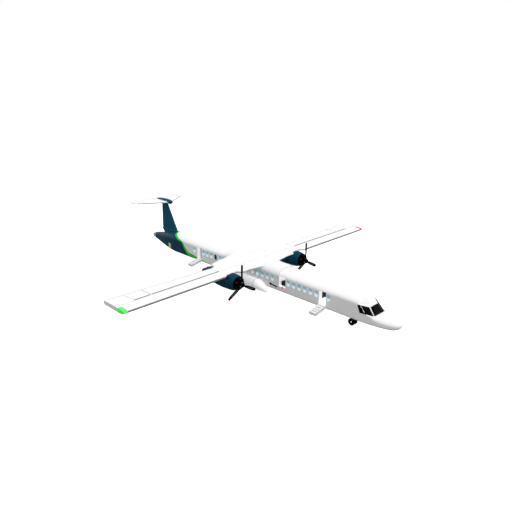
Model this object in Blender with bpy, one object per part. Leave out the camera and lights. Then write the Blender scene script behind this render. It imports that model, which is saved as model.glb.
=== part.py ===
"""High-wing turboprop airliner, full size, parked on its gear.

Axes: +X to the nose, +Y to port, +Z up. The ground is z = 0 and the origin lies on it,
midway between the nose tip and the tail tip.
"""
import math

import bmesh
import bpy
from mathutils import Matrix, Vector

for old_object in list(bpy.data.objects):
    bpy.data.objects.remove(old_object, do_unlink=True)

# Driving dimensions, metres
SEAM = 0.0003            # gap between solids that touch
RUN_GAP = 0.006          # gap between solids that move past each other
HALF_SPAN = 13.5
HULL_HALF_WIDTH = 1.00
HULL_BELLY_Z = 0.82
HULL_SIDE_LOW_Z = 1.10
HULL_SIDE_HIGH_Z = 2.20
HULL_ROOF_Z = 2.68
TAIL_CONE_X = -13.60
WING_Z = 2.60
NACELLE_Y = 3.78
NACELLE_Z = 1.97
PROPELLER_X = 2.92
PROPELLER_RADIUS = 1.63
TAILPLANE_Z = 5.38
NOSE_GEAR_X = 10.55
NOSE_WHEEL_RADIUS = 0.28
MAIN_GEAR_X = -0.75
MAIN_GEAR_Y = 1.36
MAIN_WHEEL_RADIUS = 0.34
SPONSON_Y = 1.20
SPONSON_Z = 1.02
SPONSON_RADIUS = 0.42

COLOURS = {
    # name: (red, green, blue), roughness, metallic
    "white": ((0.90, 0.90, 0.91), 0.35, 0.0),
    "teal": ((0.010, 0.060, 0.110), 0.35, 0.0),
    "black": ((0.012, 0.012, 0.014), 0.45, 0.0),
    "metal": ((0.45, 0.46, 0.48), 0.35, 0.9),
    "grey": ((0.42, 0.40, 0.39), 0.50, 0.0),
    "rubber": ((0.015, 0.015, 0.016), 0.85, 0.0),
    "green_lens": ((0.02, 0.85, 0.06), 0.15, 0.0),
    "red_lens": ((0.85, 0.03, 0.03), 0.15, 0.0),
}


def material(name):
    """The Principled material of this name, made once."""
    found = bpy.data.materials.get(name)
    if found:
        return found
    colour, roughness, metallic = COLOURS[name]
    made = bpy.data.materials.new(name)
    made.use_nodes = True
    shader = made.node_tree.nodes["Principled BSDF"]
    shader.inputs["Base Color"].default_value = (*colour, 1.0)
    shader.inputs["Roughness"].default_value = roughness
    shader.inputs["Metallic"].default_value = metallic
    return made


def add_object(name, shape, colour=None):
    """A new object from a bmesh, with its faces pointing out."""
    bmesh.ops.recalc_face_normals(shape, faces=shape.faces[:])
    mesh = bpy.data.meshes.new(name)
    shape.to_mesh(mesh)
    shape.free()
    made = bpy.data.objects.new(name, mesh)
    bpy.context.scene.collection.objects.link(made)
    if colour:
        mesh.materials.append(material(colour))
    return made


def loft(rings):
    """A closed bmesh through rings of equal length, capped at both ends."""
    shape = bmesh.new()
    rows = [[shape.verts.new(point) for point in ring] for ring in rings]
    count = len(rows[0])
    for row, following in zip(rows, rows[1:]):
        for index in range(count):
            after = (index + 1) % count
            shape.faces.new((row[index], row[after], following[after], following[index]))
    shape.faces.new(rows[0])
    shape.faces.new(rows[-1])
    return shape


def facet(shape):
    """Split the bent quads of a loft the same way each time, so that its copies match."""
    quads = [face for face in shape.faces if len(face.verts) == 4]
    bmesh.ops.triangulate(shape, faces=quads, quad_method="FIXED")
    return shape


def box(low, high):
    """A closed box between two corners."""
    (x0, y0, z0), (x1, y1, z1) = low, high
    base = [(x0, y0), (x1, y0), (x1, y1), (x0, y1)]
    return loft([[(x, y, z) for x, y in base] for z in (z0, z1)])


def turned(profile, centre, axis, sides=24, phase=0.0):
    """A body of revolution: profile rows are (distance along the axis, radius)."""
    ahead = Vector(axis).normalized()
    guide = Vector((0, 0, 1)) if abs(ahead.z) < 0.9 else Vector((1, 0, 0))
    beside = ahead.cross(guide).normalized()
    across = beside.cross(ahead)
    rings = []
    for along, radius in profile:
        middle = Vector(centre) + ahead * along
        rings.append([
            middle + (across * math.cos(turn) + beside * math.sin(turn)) * radius
            for turn in (2 * math.pi * step / sides + phase for step in range(sides))
        ])
    return loft(rings)


def helper(shape, name="guide"):
    """An object that only cuts or joins others."""
    made = add_object(name, shape)
    made.hide_render = True
    made.display_type = "WIRE"
    return made


def combine(target, shape, operation):
    """Cut, join or trim an object with another shape."""
    step = target.modifiers.new(operation.lower(), "BOOLEAN")
    step.operation = operation
    step.solver = "EXACT"
    step.object = helper(shape, f"{target.name}_{operation.lower()}_{len(target.modifiers)}")


def arc(count, start, end):
    """Angles from start to end in equal steps, both included."""
    return [start + (end - start) * step / count for step in range(count + 1)]


# Fuselage

# Columns: x, half width, belly z, side's lower z, side's upper z, roof z
HULL_SECTIONS = [
    (14.38, 0.12, 1.10, 1.17, 1.20, 1.27),
    (14.27, 0.30, 0.98, 1.12, 1.20, 1.37),
    (14.00, 0.50, 0.87, 1.07, 1.20, 1.50),
    (13.55, 0.68, 0.83, 1.06, 1.22, 1.60),
    (12.95, 0.84, 0.82, 1.07, 1.30, 1.70),
    (12.65, 0.89, 0.82, 1.08, 1.40, 1.78),
    (12.30, 0.95, 0.82, 1.09, 1.72, 2.22),
    (11.90, 0.98, 0.82, 1.10, 2.05, 2.56),
    (11.40, 1.00, 0.82, 1.10, 2.18, 2.66),
    (10.80, HULL_HALF_WIDTH, HULL_BELLY_Z, HULL_SIDE_LOW_Z, HULL_SIDE_HIGH_Z, HULL_ROOF_Z),
    (-9.40, HULL_HALF_WIDTH, HULL_BELLY_Z, HULL_SIDE_LOW_Z, HULL_SIDE_HIGH_Z, HULL_ROOF_Z),
    (-10.30, 0.94, 0.86, 1.14, 2.10, 2.60),
    (-11.40, 0.78, 1.00, 1.24, 1.95, 2.38),
    (-12.50, 0.56, 1.13, 1.34, 1.80, 2.13),
    (TAIL_CONE_X, 0.33, 1.25, 1.43, 1.66, 1.90),
]
LOWER_STEPS = 5
UPPER_STEPS = 7


def hull_ring(x, half_width, belly, low, high, roof, grow=0.0):
    """One cross-section: a shallow belly, upright sides and a rounded roof."""
    port = [
        (x, (half_width + grow) * math.sin(turn), low - (low - belly + grow) * math.cos(turn))
        for turn in arc(LOWER_STEPS, 0, math.pi / 2)
    ]
    port += [
        (x, (half_width + grow) * math.cos(turn), high + (roof - high + grow) * math.sin(turn))
        for turn in arc(UPPER_STEPS, 0, math.pi / 2)
    ]
    starboard = [(px, -py, pz) for px, py, pz in reversed(port[1:-1])]
    return port + starboard


def hull_shape(grow=0.0):
    return facet(loft([hull_ring(*section, grow=grow) for section in HULL_SECTIONS]))


# Windscreen: each pane's foot as two (x, y) corners, and how far it leans back per metre up
SCREEN_FOOT_Z = 1.61
SCREEN_HEAD_Z = 2.80
FRONT_PANE = ((12.70, 0.60), (12.70, -0.60), 0.81)
SIDE_PANE = ((12.64, 0.54), (12.32, 0.93), 0.86)
SCREEN_REACH = 0.9       # how far the cutter runs ahead of a pane and beside it


def pane_cutter(first, second, lean, side=1):
    """A wedge ahead of one pane: what it takes off the nose leaves that pane flat."""
    start, end = (Vector((x, side * y, 0)) for x, y in (first, second))
    along = (end - start).normalized()
    out = Vector((along.y, -along.x, 0))
    if out.x < 0:
        out.negate()
    rings = []
    for z in (SCREEN_FOOT_Z, SCREEN_HEAD_Z):
        back = out * (-lean * (z - SCREEN_FOOT_Z))
        wide = along * SCREEN_REACH
        near = [start - wide + back, end + wide + back]
        far = [end + wide + out * SCREEN_REACH, start - wide + out * SCREEN_REACH]
        rings.append([point + Vector((0, 0, z)) for point in near + far])
    return loft(rings)


DOORS = {
    # name: (aft x, forward x) of the opening in the starboard side
    "front_door": (8.16, 8.80),
    "rear_door": (-5.95, -5.40),
}
DOOR_SILL_Z = 0.98
DOOR_TOP_Z = 2.26
DOOR_ROOM_DEPTH = 0.75
DOOR_THICKNESS = 0.24
DOOR_GAP = 0.015
DOOR_SLAB_Z = (1.035, 2.235)
DOOR_HINGE_YZ = (-0.955, 1.055)
DOOR_PIN_RADIUS = 0.018
DOOR_OPEN_ANGLE = math.radians(102)
EXIT_X = (4.18, 4.86)
EXIT_Z = (1.42, 2.28)
EXIT_DEPTH = 0.55


def make_fuselage():
    fuselage = add_object("fuselage", hull_shape(), "white")
    combine(fuselage, pane_cutter(*FRONT_PANE), "DIFFERENCE")
    for side in (1, -1):
        combine(fuselage, pane_cutter(*SIDE_PANE, side=side), "DIFFERENCE")
    outside = -HULL_HALF_WIDTH - 0.3
    for aft, forward in DOORS.values():
        room = box((aft, outside, DOOR_SILL_Z),
                   (forward, -HULL_HALF_WIDTH + DOOR_ROOM_DEPTH, DOOR_TOP_Z))
        combine(fuselage, room, "DIFFERENCE")
    exit_room = box((EXIT_X[0], outside, EXIT_Z[0]),
                    (EXIT_X[1], -HULL_HALF_WIDTH + EXIT_DEPTH, EXIT_Z[1]))
    combine(fuselage, exit_room, "DIFFERENCE")
    return fuselage


def make_door(name, aft, forward):
    """An airstair door on a hinge pin at its foot, drawn shut and then swung down."""
    hinge_y, hinge_z = DOOR_HINGE_YZ
    door = add_object(name, box((aft + DOOR_GAP, -HULL_HALF_WIDTH, DOOR_SLAB_Z[0]),
                                (forward - DOOR_GAP, DOOR_THICKNESS - HULL_HALF_WIDTH,
                                 DOOR_SLAB_Z[1])), "white")
    swing = Matrix.Rotation(DOOR_OPEN_ANGLE, 4, "X")
    hinge = Vector((0, hinge_y, hinge_z))
    door.data.transform(Matrix.Translation(hinge) @ swing @ Matrix.Translation(-hinge))
    pin = boss((aft + SEAM, hinge_y, hinge_z), (forward - SEAM, hinge_y, hinge_z),
               radius=DOOR_PIN_RADIUS)
    combine(door, pin, "UNION")


def make_seat():
    """The seat that shows in the open exit: a cushion and a raked back."""
    aft, forward = EXIT_X
    wall_y = -HULL_HALF_WIDTH + EXIT_DEPTH
    floor_z = EXIT_Z[0] + SEAM
    side = [
        (aft + 0.10, floor_z), (forward - 0.06, floor_z), (forward - 0.06, floor_z + 0.30),
        (aft + 0.30, floor_z + 0.26), (aft + 0.22, floor_z + 0.62), (aft + 0.10, floor_z + 0.62),
    ]
    shape = loft([[(x, y, z) for x, z in side] for y in (wall_y - 0.40, wall_y - 0.02)])
    return add_object("seat", shape, "black")


# Columns: distance aft of the joint, radius across, radius up, centre z
TAIL_CONE_SECTIONS = [
    (SEAM, 0.30, 0.300, 1.575),
    (0.25, 0.30, 0.300, 1.560),
    (0.55, 0.21, 0.210, 1.520),
    (0.78, 0.09, 0.100, 1.480),
]


def make_tail_cone():
    rings = [
        [(TAIL_CONE_X - aft, across * math.cos(turn), middle + up * math.sin(turn))
         for turn in arc(16, 0, 2 * math.pi)[:-1]]
        for aft, across, up, middle in TAIL_CONE_SECTIONS
    ]
    return add_object("tail_cone", loft(rings), "grey")


# Lifting surfaces

# Columns: share of the chord, share of the half thickness
FOIL = [(0.0, 0.0), (0.012, 0.36), (0.05, 0.66), (0.14, 0.90), (0.30, 1.00),
        (0.50, 0.95), (0.75, 0.74), (1.0, 0.48)]
# The wing tip keeps its thickness back to a square trailing edge
TIP_FOIL = [(0.0, 0.0), (0.012, 0.36), (0.05, 0.66), (0.14, 0.90), (0.30, 1.00),
            (0.50, 1.00), (0.75, 0.96), (1.0, 0.86)]
NOSE_STEPS = 6
FLAP_SHARES = (0.15, 0.55, 0.9999)


def between(sections, place):
    """Values of a section table at a place between its rows."""
    for inner, outer in zip(sections, sections[1:]):
        if inner[0] <= place <= outer[0]:
            share = (place - inner[0]) / (outer[0] - inner[0])
            return [a + (b - a) * share for a, b in zip(inner[1:], outer[1:])]
    raise ValueError(place)


def foil_height(le, te, half, x):
    """Half thickness of the foil at x."""
    share = (x - le) / (te - le)
    for (s0, h0), (s1, h1) in zip(FOIL, FOIL[1:]):
        if s0 <= share <= s1:
            return half * (h0 + (h1 - h0) * (share - s0) / (s1 - s0))
    return 0.0


def foil_profile(le, te, half, foil=FOIL):
    """The whole foil as (x, height) points, once around."""
    upper = [(le + (te - le) * share, half * height) for share, height in foil]
    return upper + [(x, -height) for x, height in reversed(upper[1:])]


def flap_profile(le, te, half, hinge):
    """The part of a foil behind a hinge, with a round nose about that hinge."""
    radius = foil_height(le, te, half, hinge)
    nose = [(hinge + radius * math.sin(turn), radius * math.cos(turn))
            for turn in arc(NOSE_STEPS, math.pi, 0)]
    aft = [(x, foil_height(le, te, half, x))
           for x in (hinge + (te - hinge) * share for share in FLAP_SHARES)]
    return nose + aft + [(x, -height) for x, height in reversed(aft)]


def level(profile, y, z):
    """A profile laid in a fore-and-aft upright plane, for wings and tailplanes."""
    return [(x, y, z + height) for x, height in profile]


def upright(profile, z):
    """A profile laid in a level plane, for the fin."""
    return [(x, height, z) for x, height in profile]


def boss(start, end, radius=0.045):
    """A hinge pin from start to end."""
    start, end = Vector(start), Vector(end)
    return turned([(0, radius), ((end - start).length, radius)], start, end - start, sides=10)


# Wing sections, columns: y, leading edge x, trailing edge x, half thickness
WING_SECTIONS = [
    (0.55, 2.42, -1.42, 0.175),
    (2.30, 2.12, -1.05, 0.165),
    (3.10, 2.11, -0.88, 0.162),
    (3.32, 1.76, -0.83, 0.160),
    (3.70, 1.76, -0.75, 0.160),
    (3.95, 1.76, -0.06, 0.160),
    (4.25, 1.76, -0.08, 0.160),
    (4.78, 2.11, -0.10, 0.160),
    (13.15, 2.12, -0.50, 0.150),
    (HALF_SPAN, 2.08, -0.42, 0.165),
]
WING_HINGE_X = 0.92
HINGE_SLOT = 0.03        # running gap at a control surface's ends and nose
FLAP_Y = (4.45, 10.62)
AILERON_Y = (10.70, 12.05)
LENS_Y = 13.18
LENS_X = 1.35
WING_CUT_Z = (2.0, 3.2)  # well below and well above the wing


def wing_shape(side, grow=0.0):
    rings = []
    for y, le, te, half in WING_SECTIONS:
        foil = TIP_FOIL if y == HALF_SPAN else FOIL
        profile = foil_profile(le + grow, te - grow, half + grow, foil)
        rings.append(level(profile, side * y, WING_Z))
    return facet(loft(rings))


def span_box(side, x_range, y_range, z_range):
    """A box whose y range is mirrored for the starboard side."""
    y0, y1 = sorted(side * y for y in y_range)
    return box((x_range[0], y0, z_range[0]), (x_range[1], y1, z_range[1]))


def slot_front_x(half):
    """Where the fixed wing ends ahead of a flap."""
    return WING_HINGE_X + half + HINGE_SLOT


FAIRING_X = (-2.35, 4.16)
FAIRING_WIDTH = 1.03
FAIRING_BASE_Z = 2.22
FAIRING_TOP_Z = 2.86


def fairing_shape(grow=0.0):
    """The raised saddle that carries the wing over the roof."""
    rings = []
    # Columns: x, share of the full height above the roof
    for x, share in ((FAIRING_X[0] - grow, 0.25), (-1.55, 1.0), (FAIRING_X[1] + grow, 1.0)):
        top = HULL_ROOF_Z + 0.02 + (FAIRING_TOP_Z - HULL_ROOF_Z - 0.02) * share + grow
        ring = [(x, (FAIRING_WIDTH + grow) * math.cos(turn),
                 FAIRING_BASE_Z + (top - FAIRING_BASE_Z) * math.sin(turn))
                for turn in arc(14, 0, math.pi)]
        rings.append(ring + [(x, -0.5, FAIRING_BASE_Z - 0.1), (x, 0.5, FAIRING_BASE_Z - 0.1)])
    return facet(loft(rings))


def make_fairing():
    fairing = add_object("wing_fairing", fairing_shape(), "white")
    combine(fairing, hull_shape(grow=SEAM), "DIFFERENCE")
    return fairing


def make_wing(side, suffix):
    wing = add_object(f"wing_{suffix}", wing_shape(side), "white")
    combine(wing, fairing_shape(grow=SEAM), "DIFFERENCE")
    combine(wing, hull_shape(grow=SEAM), "DIFFERENCE")
    for y_range in (FLAP_Y, AILERON_Y):
        front = slot_front_x(between(WING_SECTIONS, y_range[0])[2])
        combine(wing, span_box(side, (-2.0, front), y_range, WING_CUT_Z), "DIFFERENCE")
    lens = (LENS_X, 3.0), (LENS_Y, HALF_SPAN + 1), WING_CUT_Z
    combine(wing, span_box(side, *lens), "DIFFERENCE")
    light = add_object(f"nav_light_{suffix}", wing_shape(side),
                       "red_lens" if side > 0 else "green_lens")
    kept = (LENS_X + SEAM, 3.0), (LENS_Y + SEAM, HALF_SPAN + 1), WING_CUT_Z
    combine(light, span_box(side, *kept), "INTERSECT")
    return wing


def make_flap(side, name, y_range):
    """A flap or aileron, carried on pins at both ends of its hinge line."""
    inner, outer = y_range[0] + HINGE_SLOT, y_range[1] - HINGE_SLOT
    rings = [level(flap_profile(*between(WING_SECTIONS, y), WING_HINGE_X), side * y, WING_Z)
             for y in (inner, outer)]
    flap = add_object(name, loft(rings), "white")
    pin = boss((WING_HINGE_X, side * (y_range[0] + SEAM), WING_Z),
               (WING_HINGE_X, side * (y_range[1] - SEAM), WING_Z))
    combine(flap, pin, "UNION")
    return flap


# Engines

# Columns: x, half width, half height, centre z
NACELLE_SECTIONS = [
    (2.450, 0.500, 0.500, 1.970), (2.430, 0.555, 0.555, 1.970), (2.250, 0.610, 0.615, 1.965),
    (1.850, 0.650, 0.680, 1.945), (0.900, 0.640, 0.695, 1.925), (-0.100, 0.580, 0.640, 1.940),
    (-0.900, 0.460, 0.520, 1.950), (-1.250, 0.330, 0.400, 1.940), (-1.380, 0.270, 0.290, 1.930),
]
NACELLE_SIDES = 20
SHAFT_RADIUS = 0.10
EXHAUST_AFT_X = -1.65


def nacelle_ring(x, across, up, z, y):
    return [(x, y + across * math.cos(turn), z + up * math.sin(turn))
            for turn in arc(NACELLE_SIDES, 0, 2 * math.pi)[:-1]]


def make_nacelle(side, suffix):
    y = side * NACELLE_Y
    rings = [nacelle_ring(*section, y) for section in NACELLE_SECTIONS]
    nacelle = add_object(f"nacelle_{suffix}", loft(rings), "teal")
    # Twice the seam, because the wing's leading edge steps back at a slant there
    combine(nacelle, wing_shape(side, grow=2 * SEAM), "DIFFERENCE")
    front = NACELLE_SECTIONS[0][0]
    shaft = turned([(-0.2, SHAFT_RADIUS), (RUN_GAP, SHAFT_RADIUS)], (front, y, NACELLE_Z),
                   (1, 0, 0), sides=16)
    combine(nacelle, shaft, "UNION")
    aft_x, aft_radius, _, aft_z = NACELLE_SECTIONS[-1]
    length = aft_x - SEAM - EXHAUST_AFT_X
    pipe = turned([(0, aft_radius * 0.85), (length, aft_radius * 0.75)],
                  (aft_x - SEAM, y, aft_z), (-1, 0, 0), sides=16)
    exhaust = add_object(f"exhaust_{suffix}", pipe, "black")
    bore = turned([(length - 0.18, aft_radius * 0.6), (length + 0.1, aft_radius * 0.6)],
                  (aft_x - SEAM, y, aft_z), (-1, 0, 0), sides=16)
    combine(exhaust, bore, "DIFFERENCE")
    return nacelle


# Columns: radius, chord, thickness, pitch in degrees from the disc
BLADE_SECTIONS = [
    (0.08, 0.14, 0.110, -62), (0.28, 0.15, 0.090, -55), (0.60, 0.22, 0.055, -42),
    (1.10, 0.22, 0.035, -30), (1.50, 0.17, 0.022, -24), (PROPELLER_RADIUS, 0.10, 0.016, -22),
]
BLADE_POINTS = 8
BLADE_ANGLES = (0, 120, 240)


def blade_shape(centre, angle):
    """One blade standing up from the hub, then turned about the shaft."""
    rings = []
    for radius, chord, thickness, pitch in BLADE_SECTIONS:
        tilt = math.radians(pitch)
        ring = []
        for turn in arc(BLADE_POINTS, 0, 2 * math.pi)[:-1]:
            along, out = chord / 2 * math.cos(turn), thickness / 2 * math.sin(turn)
            ring.append(Vector((along * math.sin(tilt) + out * math.cos(tilt),
                                along * math.cos(tilt) - out * math.sin(tilt), radius)))
        rings.append(ring)
    swing = Matrix.Rotation(math.radians(angle), 3, "X")
    return loft([[Vector(centre) + swing @ point for point in ring] for ring in rings])


def make_propeller(side, suffix):
    y = side * NACELLE_Y
    back = NACELLE_SECTIONS[0][0] + RUN_GAP + SEAM
    # Columns: distance ahead of the back face, radius
    hub = [(0.0, 0.530), (0.10, 0.545), (0.17, 0.50), (0.26, 0.40), (0.36, 0.29),
           (0.46, 0.23), (0.60, 0.17), (0.69, 0.10), (0.73, 0.03)]
    propeller = add_object(f"propeller_{suffix}",
                           turned(hub, (back, y, NACELLE_Z), (1, 0, 0), sides=24), "black")
    for angle in BLADE_ANGLES:
        combine(propeller, blade_shape((PROPELLER_X, y, NACELLE_Z), angle), "UNION")
    return propeller


# Tail

# Fin sections, columns: z, leading edge x, trailing edge x, half thickness
FIN_SECTIONS = [
    (1.80, -10.30, -11.85, 0.170),
    (2.60, -10.12, -12.66, 0.170),
    (2.62, -10.14, -12.56, 0.125),
    (5.30, -11.62, -12.48, 0.090),
]
RUDDER_Z = (2.72, 4.98)
RUDDER_HINGE_X = (-11.82, -12.12)
RUDDER_PIN_RADIUS = 0.035
BULLET = [
    # x, half width, half height, centre z
    (-10.82, 0.05, 0.06, 5.42), (-10.92, 0.13, 0.15, 5.43), (-11.20, 0.19, 0.22, 5.44),
    (-11.90, 0.20, 0.23, 5.44), (-12.70, 0.15, 0.17, 5.44), (-13.35, 0.06, 0.06, 5.44),
]
BULLET_SIDES = 16
# Tailplane sections, columns: y, leading edge x, trailing edge x, half thickness
TAILPLANE_SECTIONS = [
    (0.02, -11.10, -13.95, 0.090),
    (2.55, -12.72, -13.98, 0.065),
    (2.85, -13.05, -13.85, 0.045),
]
ELEVATOR_Y = (0.42, 2.40)
ELEVATOR_HINGE_X = -13.22


def bullet_shape(grow=0.0):
    rings = []
    for x, across, up, middle in BULLET:
        rings.append([(x, (across + grow) * math.cos(turn), middle + (up + grow) * math.sin(turn))
                      for turn in arc(BULLET_SIDES, 0, 2 * math.pi)[:-1]])
    return facet(loft(rings))


def rudder_hinge(z):
    share = (z - RUDDER_Z[0]) / (RUDDER_Z[1] - RUDDER_Z[0])
    return RUDDER_HINGE_X[0] + (RUDDER_HINGE_X[1] - RUDDER_HINGE_X[0]) * share


def make_fin():
    rings = [upright(foil_profile(le, te, half), z) for z, le, te, half in FIN_SECTIONS]
    fin = add_object("fin", loft(rings), "teal")
    combine(fin, hull_shape(grow=SEAM), "DIFFERENCE")
    combine(fin, bullet_shape(grow=SEAM), "DIFFERENCE")
    low, high = RUDDER_Z
    reach = 0.11 + HINGE_SLOT
    cutter = loft([
        [(rudder_hinge(z) + reach, -0.4, z), (-13.5, -0.4, z),
         (-13.5, 0.4, z), (rudder_hinge(z) + reach, 0.4, z)]
        for z in (low, high)
    ])
    combine(fin, cutter, "DIFFERENCE")


def make_rudder():
    low, high = RUDDER_Z[0] + HINGE_SLOT, RUDDER_Z[1] - HINGE_SLOT
    rings = [upright(flap_profile(*between(FIN_SECTIONS, z), rudder_hinge(z)), z)
             for z in (low, high)]
    rudder = add_object("rudder", loft(rings), "teal")
    lean = (RUDDER_HINGE_X[0] - RUDDER_HINGE_X[1]) / (RUDDER_Z[1] - RUDDER_Z[0])
    inset = RUDDER_PIN_RADIUS * lean + SEAM
    foot, head = RUDDER_Z[0] + inset, RUDDER_Z[1] - inset
    pin = boss((rudder_hinge(foot), 0, foot), (rudder_hinge(head), 0, head),
               radius=RUDDER_PIN_RADIUS)
    combine(rudder, pin, "UNION")


def make_tailplane(side, suffix):
    rings = [level(foil_profile(le, te, half), side * y, TAILPLANE_Z)
             for y, le, te, half in TAILPLANE_SECTIONS]
    plane = add_object(f"tailplane_{suffix}", loft(rings), "white")
    combine(plane, bullet_shape(grow=SEAM), "DIFFERENCE")
    front = ELEVATOR_HINGE_X + 0.08 + HINGE_SLOT
    combine(plane, span_box(side, (-15.0, front), ELEVATOR_Y, (5.0, 5.8)), "DIFFERENCE")
    inner, outer = ELEVATOR_Y[0] + HINGE_SLOT, ELEVATOR_Y[1] - HINGE_SLOT
    rings = [level(flap_profile(*between(TAILPLANE_SECTIONS, y), ELEVATOR_HINGE_X),
                   side * y, TAILPLANE_Z) for y in (inner, outer)]
    elevator = add_object(f"elevator_{suffix}", loft(rings), "white")
    pin = boss((ELEVATOR_HINGE_X, side * (ELEVATOR_Y[0] + SEAM), TAILPLANE_Z),
               (ELEVATOR_HINGE_X, side * (ELEVATOR_Y[1] - SEAM), TAILPLANE_Z), radius=0.03)
    combine(elevator, pin, "UNION")


# Landing gear

# Sponson, columns: x, share of the full radius; its underside is level throughout
SPONSON_SECTIONS = [
    (3.10, 0.07), (3.04, 0.22), (2.94, 0.40), (2.83, 0.54), (2.60, 0.74), (2.41, 0.87),
    (2.20, 0.96), (1.95, 1.0), (-1.90, 1.0), (-2.60, 0.80), (-3.20, 0.45), (-3.55, 0.12),
]
SPONSON_SIDES = 20
WELL_HALF_LENGTH = 0.44
WELL_ROOF_Z = 0.80
# Tyre and wheel, columns: share of the half width, share of the radius
WHEEL_PROFILE = [(-0.55, 0.10), (-0.55, 0.48), (-0.85, 0.56), (-1.0, 0.76), (-0.86, 0.93),
                 (-0.45, 1.0), (0.45, 1.0), (0.86, 0.93), (1.0, 0.76), (0.85, 0.56),
                 (0.55, 0.48), (0.55, 0.10)]
WHEEL_SIDES = 28


def axle_height(radius):
    """Height of an axle whose faceted tyre stands with one facet flat on the ground."""
    return radius * math.cos(math.pi / WHEEL_SIDES)


def make_sponson(side, suffix):
    rings = []
    for x, share in SPONSON_SECTIONS:
        radius = SPONSON_RADIUS * share
        drop = SPONSON_RADIUS - radius
        rings.append([(x, side * (SPONSON_Y + radius * math.cos(turn)),
                       SPONSON_Z - drop + radius * math.sin(turn))
                      for turn in arc(SPONSON_SIDES, 0, 2 * math.pi)[:-1]])
    sponson = add_object(f"sponson_{suffix}", loft(rings), "white")
    combine(sponson, hull_shape(grow=SEAM), "DIFFERENCE")
    well = span_box(side, (MAIN_GEAR_X - WELL_HALF_LENGTH, MAIN_GEAR_X + WELL_HALF_LENGTH),
                    (MAIN_GEAR_Y - 0.34, MAIN_GEAR_Y + 1.0), (0.2, WELL_ROOF_Z))
    combine(sponson, well, "DIFFERENCE")


def wheel_pair(name, centre, radius, half_width, half_track, axle_radius):
    """Two wheels and their axle, turned as one body because they turn together."""
    inner = half_track - WHEEL_PROFILE[-1][0] * half_width
    left = [(half_track + half_width * across, radius * out) for across, out in WHEEL_PROFILE]
    right = [(-along, out) for along, out in reversed(left)]
    axle = [(-inner, axle_radius), (inner, axle_radius)]
    profile = right[:-1] + axle + left[1:]
    pair = turned(profile, centre, (0, 1, 0), sides=WHEEL_SIDES, phase=math.pi / WHEEL_SIDES)
    return add_object(name, pair, "rubber")


MAIN_HALF_TRACK = 0.17
MAIN_TYRE_HALF_WIDTH = 0.085
MAIN_AXLE_RADIUS = 0.05
MAIN_LEG_RADIUS = 0.045
NOSE_HALF_TRACK = 0.16
NOSE_TYRE_HALF_WIDTH = 0.065
NOSE_AXLE_RADIUS = 0.035
NOSE_LEG_RADIUS = 0.075
NOSE_FORK_RADIUS = 0.05
NOSE_LEG_FOOT_Z = 0.60


def eye(centre, pin_radius, outer_radius, half_width):
    """A bearing ring about a wheel axle, and the bore that goes through it."""
    ring = turned([(-half_width, outer_radius), (half_width, outer_radius)], centre, (0, 1, 0),
                  sides=20)
    bore = turned([(-half_width * 3, pin_radius), (half_width * 3, pin_radius)], centre,
                  (0, 1, 0), sides=20)
    return ring, bore


def make_main_gear(side, suffix):
    y = side * MAIN_GEAR_Y
    centre = (MAIN_GEAR_X, y, axle_height(MAIN_WHEEL_RADIUS))
    foot = centre[2] + 0.02
    leg = add_object(f"main_gear_leg_{suffix}",
                     turned([(0, MAIN_LEG_RADIUS), (WELL_ROOF_Z - SEAM - foot, MAIN_LEG_RADIUS)],
                            (MAIN_GEAR_X, y, foot), (0, 0, 1), sides=16), "metal")
    ring, bore = eye(centre, MAIN_AXLE_RADIUS + RUN_GAP / 6, 0.085, MAIN_LEG_RADIUS)
    combine(leg, ring, "UNION")
    combine(leg, bore, "DIFFERENCE")
    wheel_pair(f"main_wheels_{suffix}", centre, MAIN_WHEEL_RADIUS, MAIN_TYRE_HALF_WIDTH,
               MAIN_HALF_TRACK, MAIN_AXLE_RADIUS)


def make_nose_gear():
    centre = (NOSE_GEAR_X, 0, axle_height(NOSE_WHEEL_RADIUS))
    leg = add_object("nose_gear_leg",
                     turned([(0, NOSE_LEG_RADIUS), (0.35, NOSE_LEG_RADIUS)],
                            (NOSE_GEAR_X, 0, NOSE_LEG_FOOT_Z), (0, 0, 1), sides=20), "metal")
    combine(leg, hull_shape(grow=SEAM), "DIFFERENCE")
    foot = centre[2] + 0.02
    fork = add_object("nose_gear_fork",
                      turned([(0, NOSE_FORK_RADIUS),
                              (NOSE_LEG_FOOT_Z - SEAM - foot, NOSE_FORK_RADIUS)],
                             (NOSE_GEAR_X, 0, foot), (0, 0, 1), sides=20), "metal")
    ring, bore = eye(centre, NOSE_AXLE_RADIUS + RUN_GAP / 6, 0.065, NOSE_FORK_RADIUS)
    combine(fork, ring, "UNION")
    combine(fork, bore, "DIFFERENCE")
    wheel_pair("nose_wheels", centre, NOSE_WHEEL_RADIUS, NOSE_TYRE_HALF_WIDTH,
               NOSE_HALF_TRACK, NOSE_AXLE_RADIUS)


def main():
    make_fuselage()
    for name, (aft, forward) in DOORS.items():
        make_door(name, aft, forward)
    make_seat()
    make_tail_cone()
    make_fairing()
    make_fin()
    make_rudder()
    add_object("bullet", bullet_shape(), "teal")
    make_nose_gear()
    for side, suffix in ((1, "left"), (-1, "right")):
        make_wing(side, suffix)
        make_flap(side, f"flap_{suffix}", FLAP_Y)
        make_flap(side, f"aileron_{suffix}", AILERON_Y)
        make_nacelle(side, suffix)
        make_propeller(side, suffix)
        make_tailplane(side, suffix)
        make_sponson(side, suffix)
        make_main_gear(side, suffix)


main()
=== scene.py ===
"""Looks of the high-wing turboprop airliner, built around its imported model.

Metres, +X to the nose, +Y to port, +Z up, ground at z = 0, as in the model.
"""
import math

import bmesh
import bpy
from mathutils import Matrix, Vector
from mathutils.bvhtree import BVHTree


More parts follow.
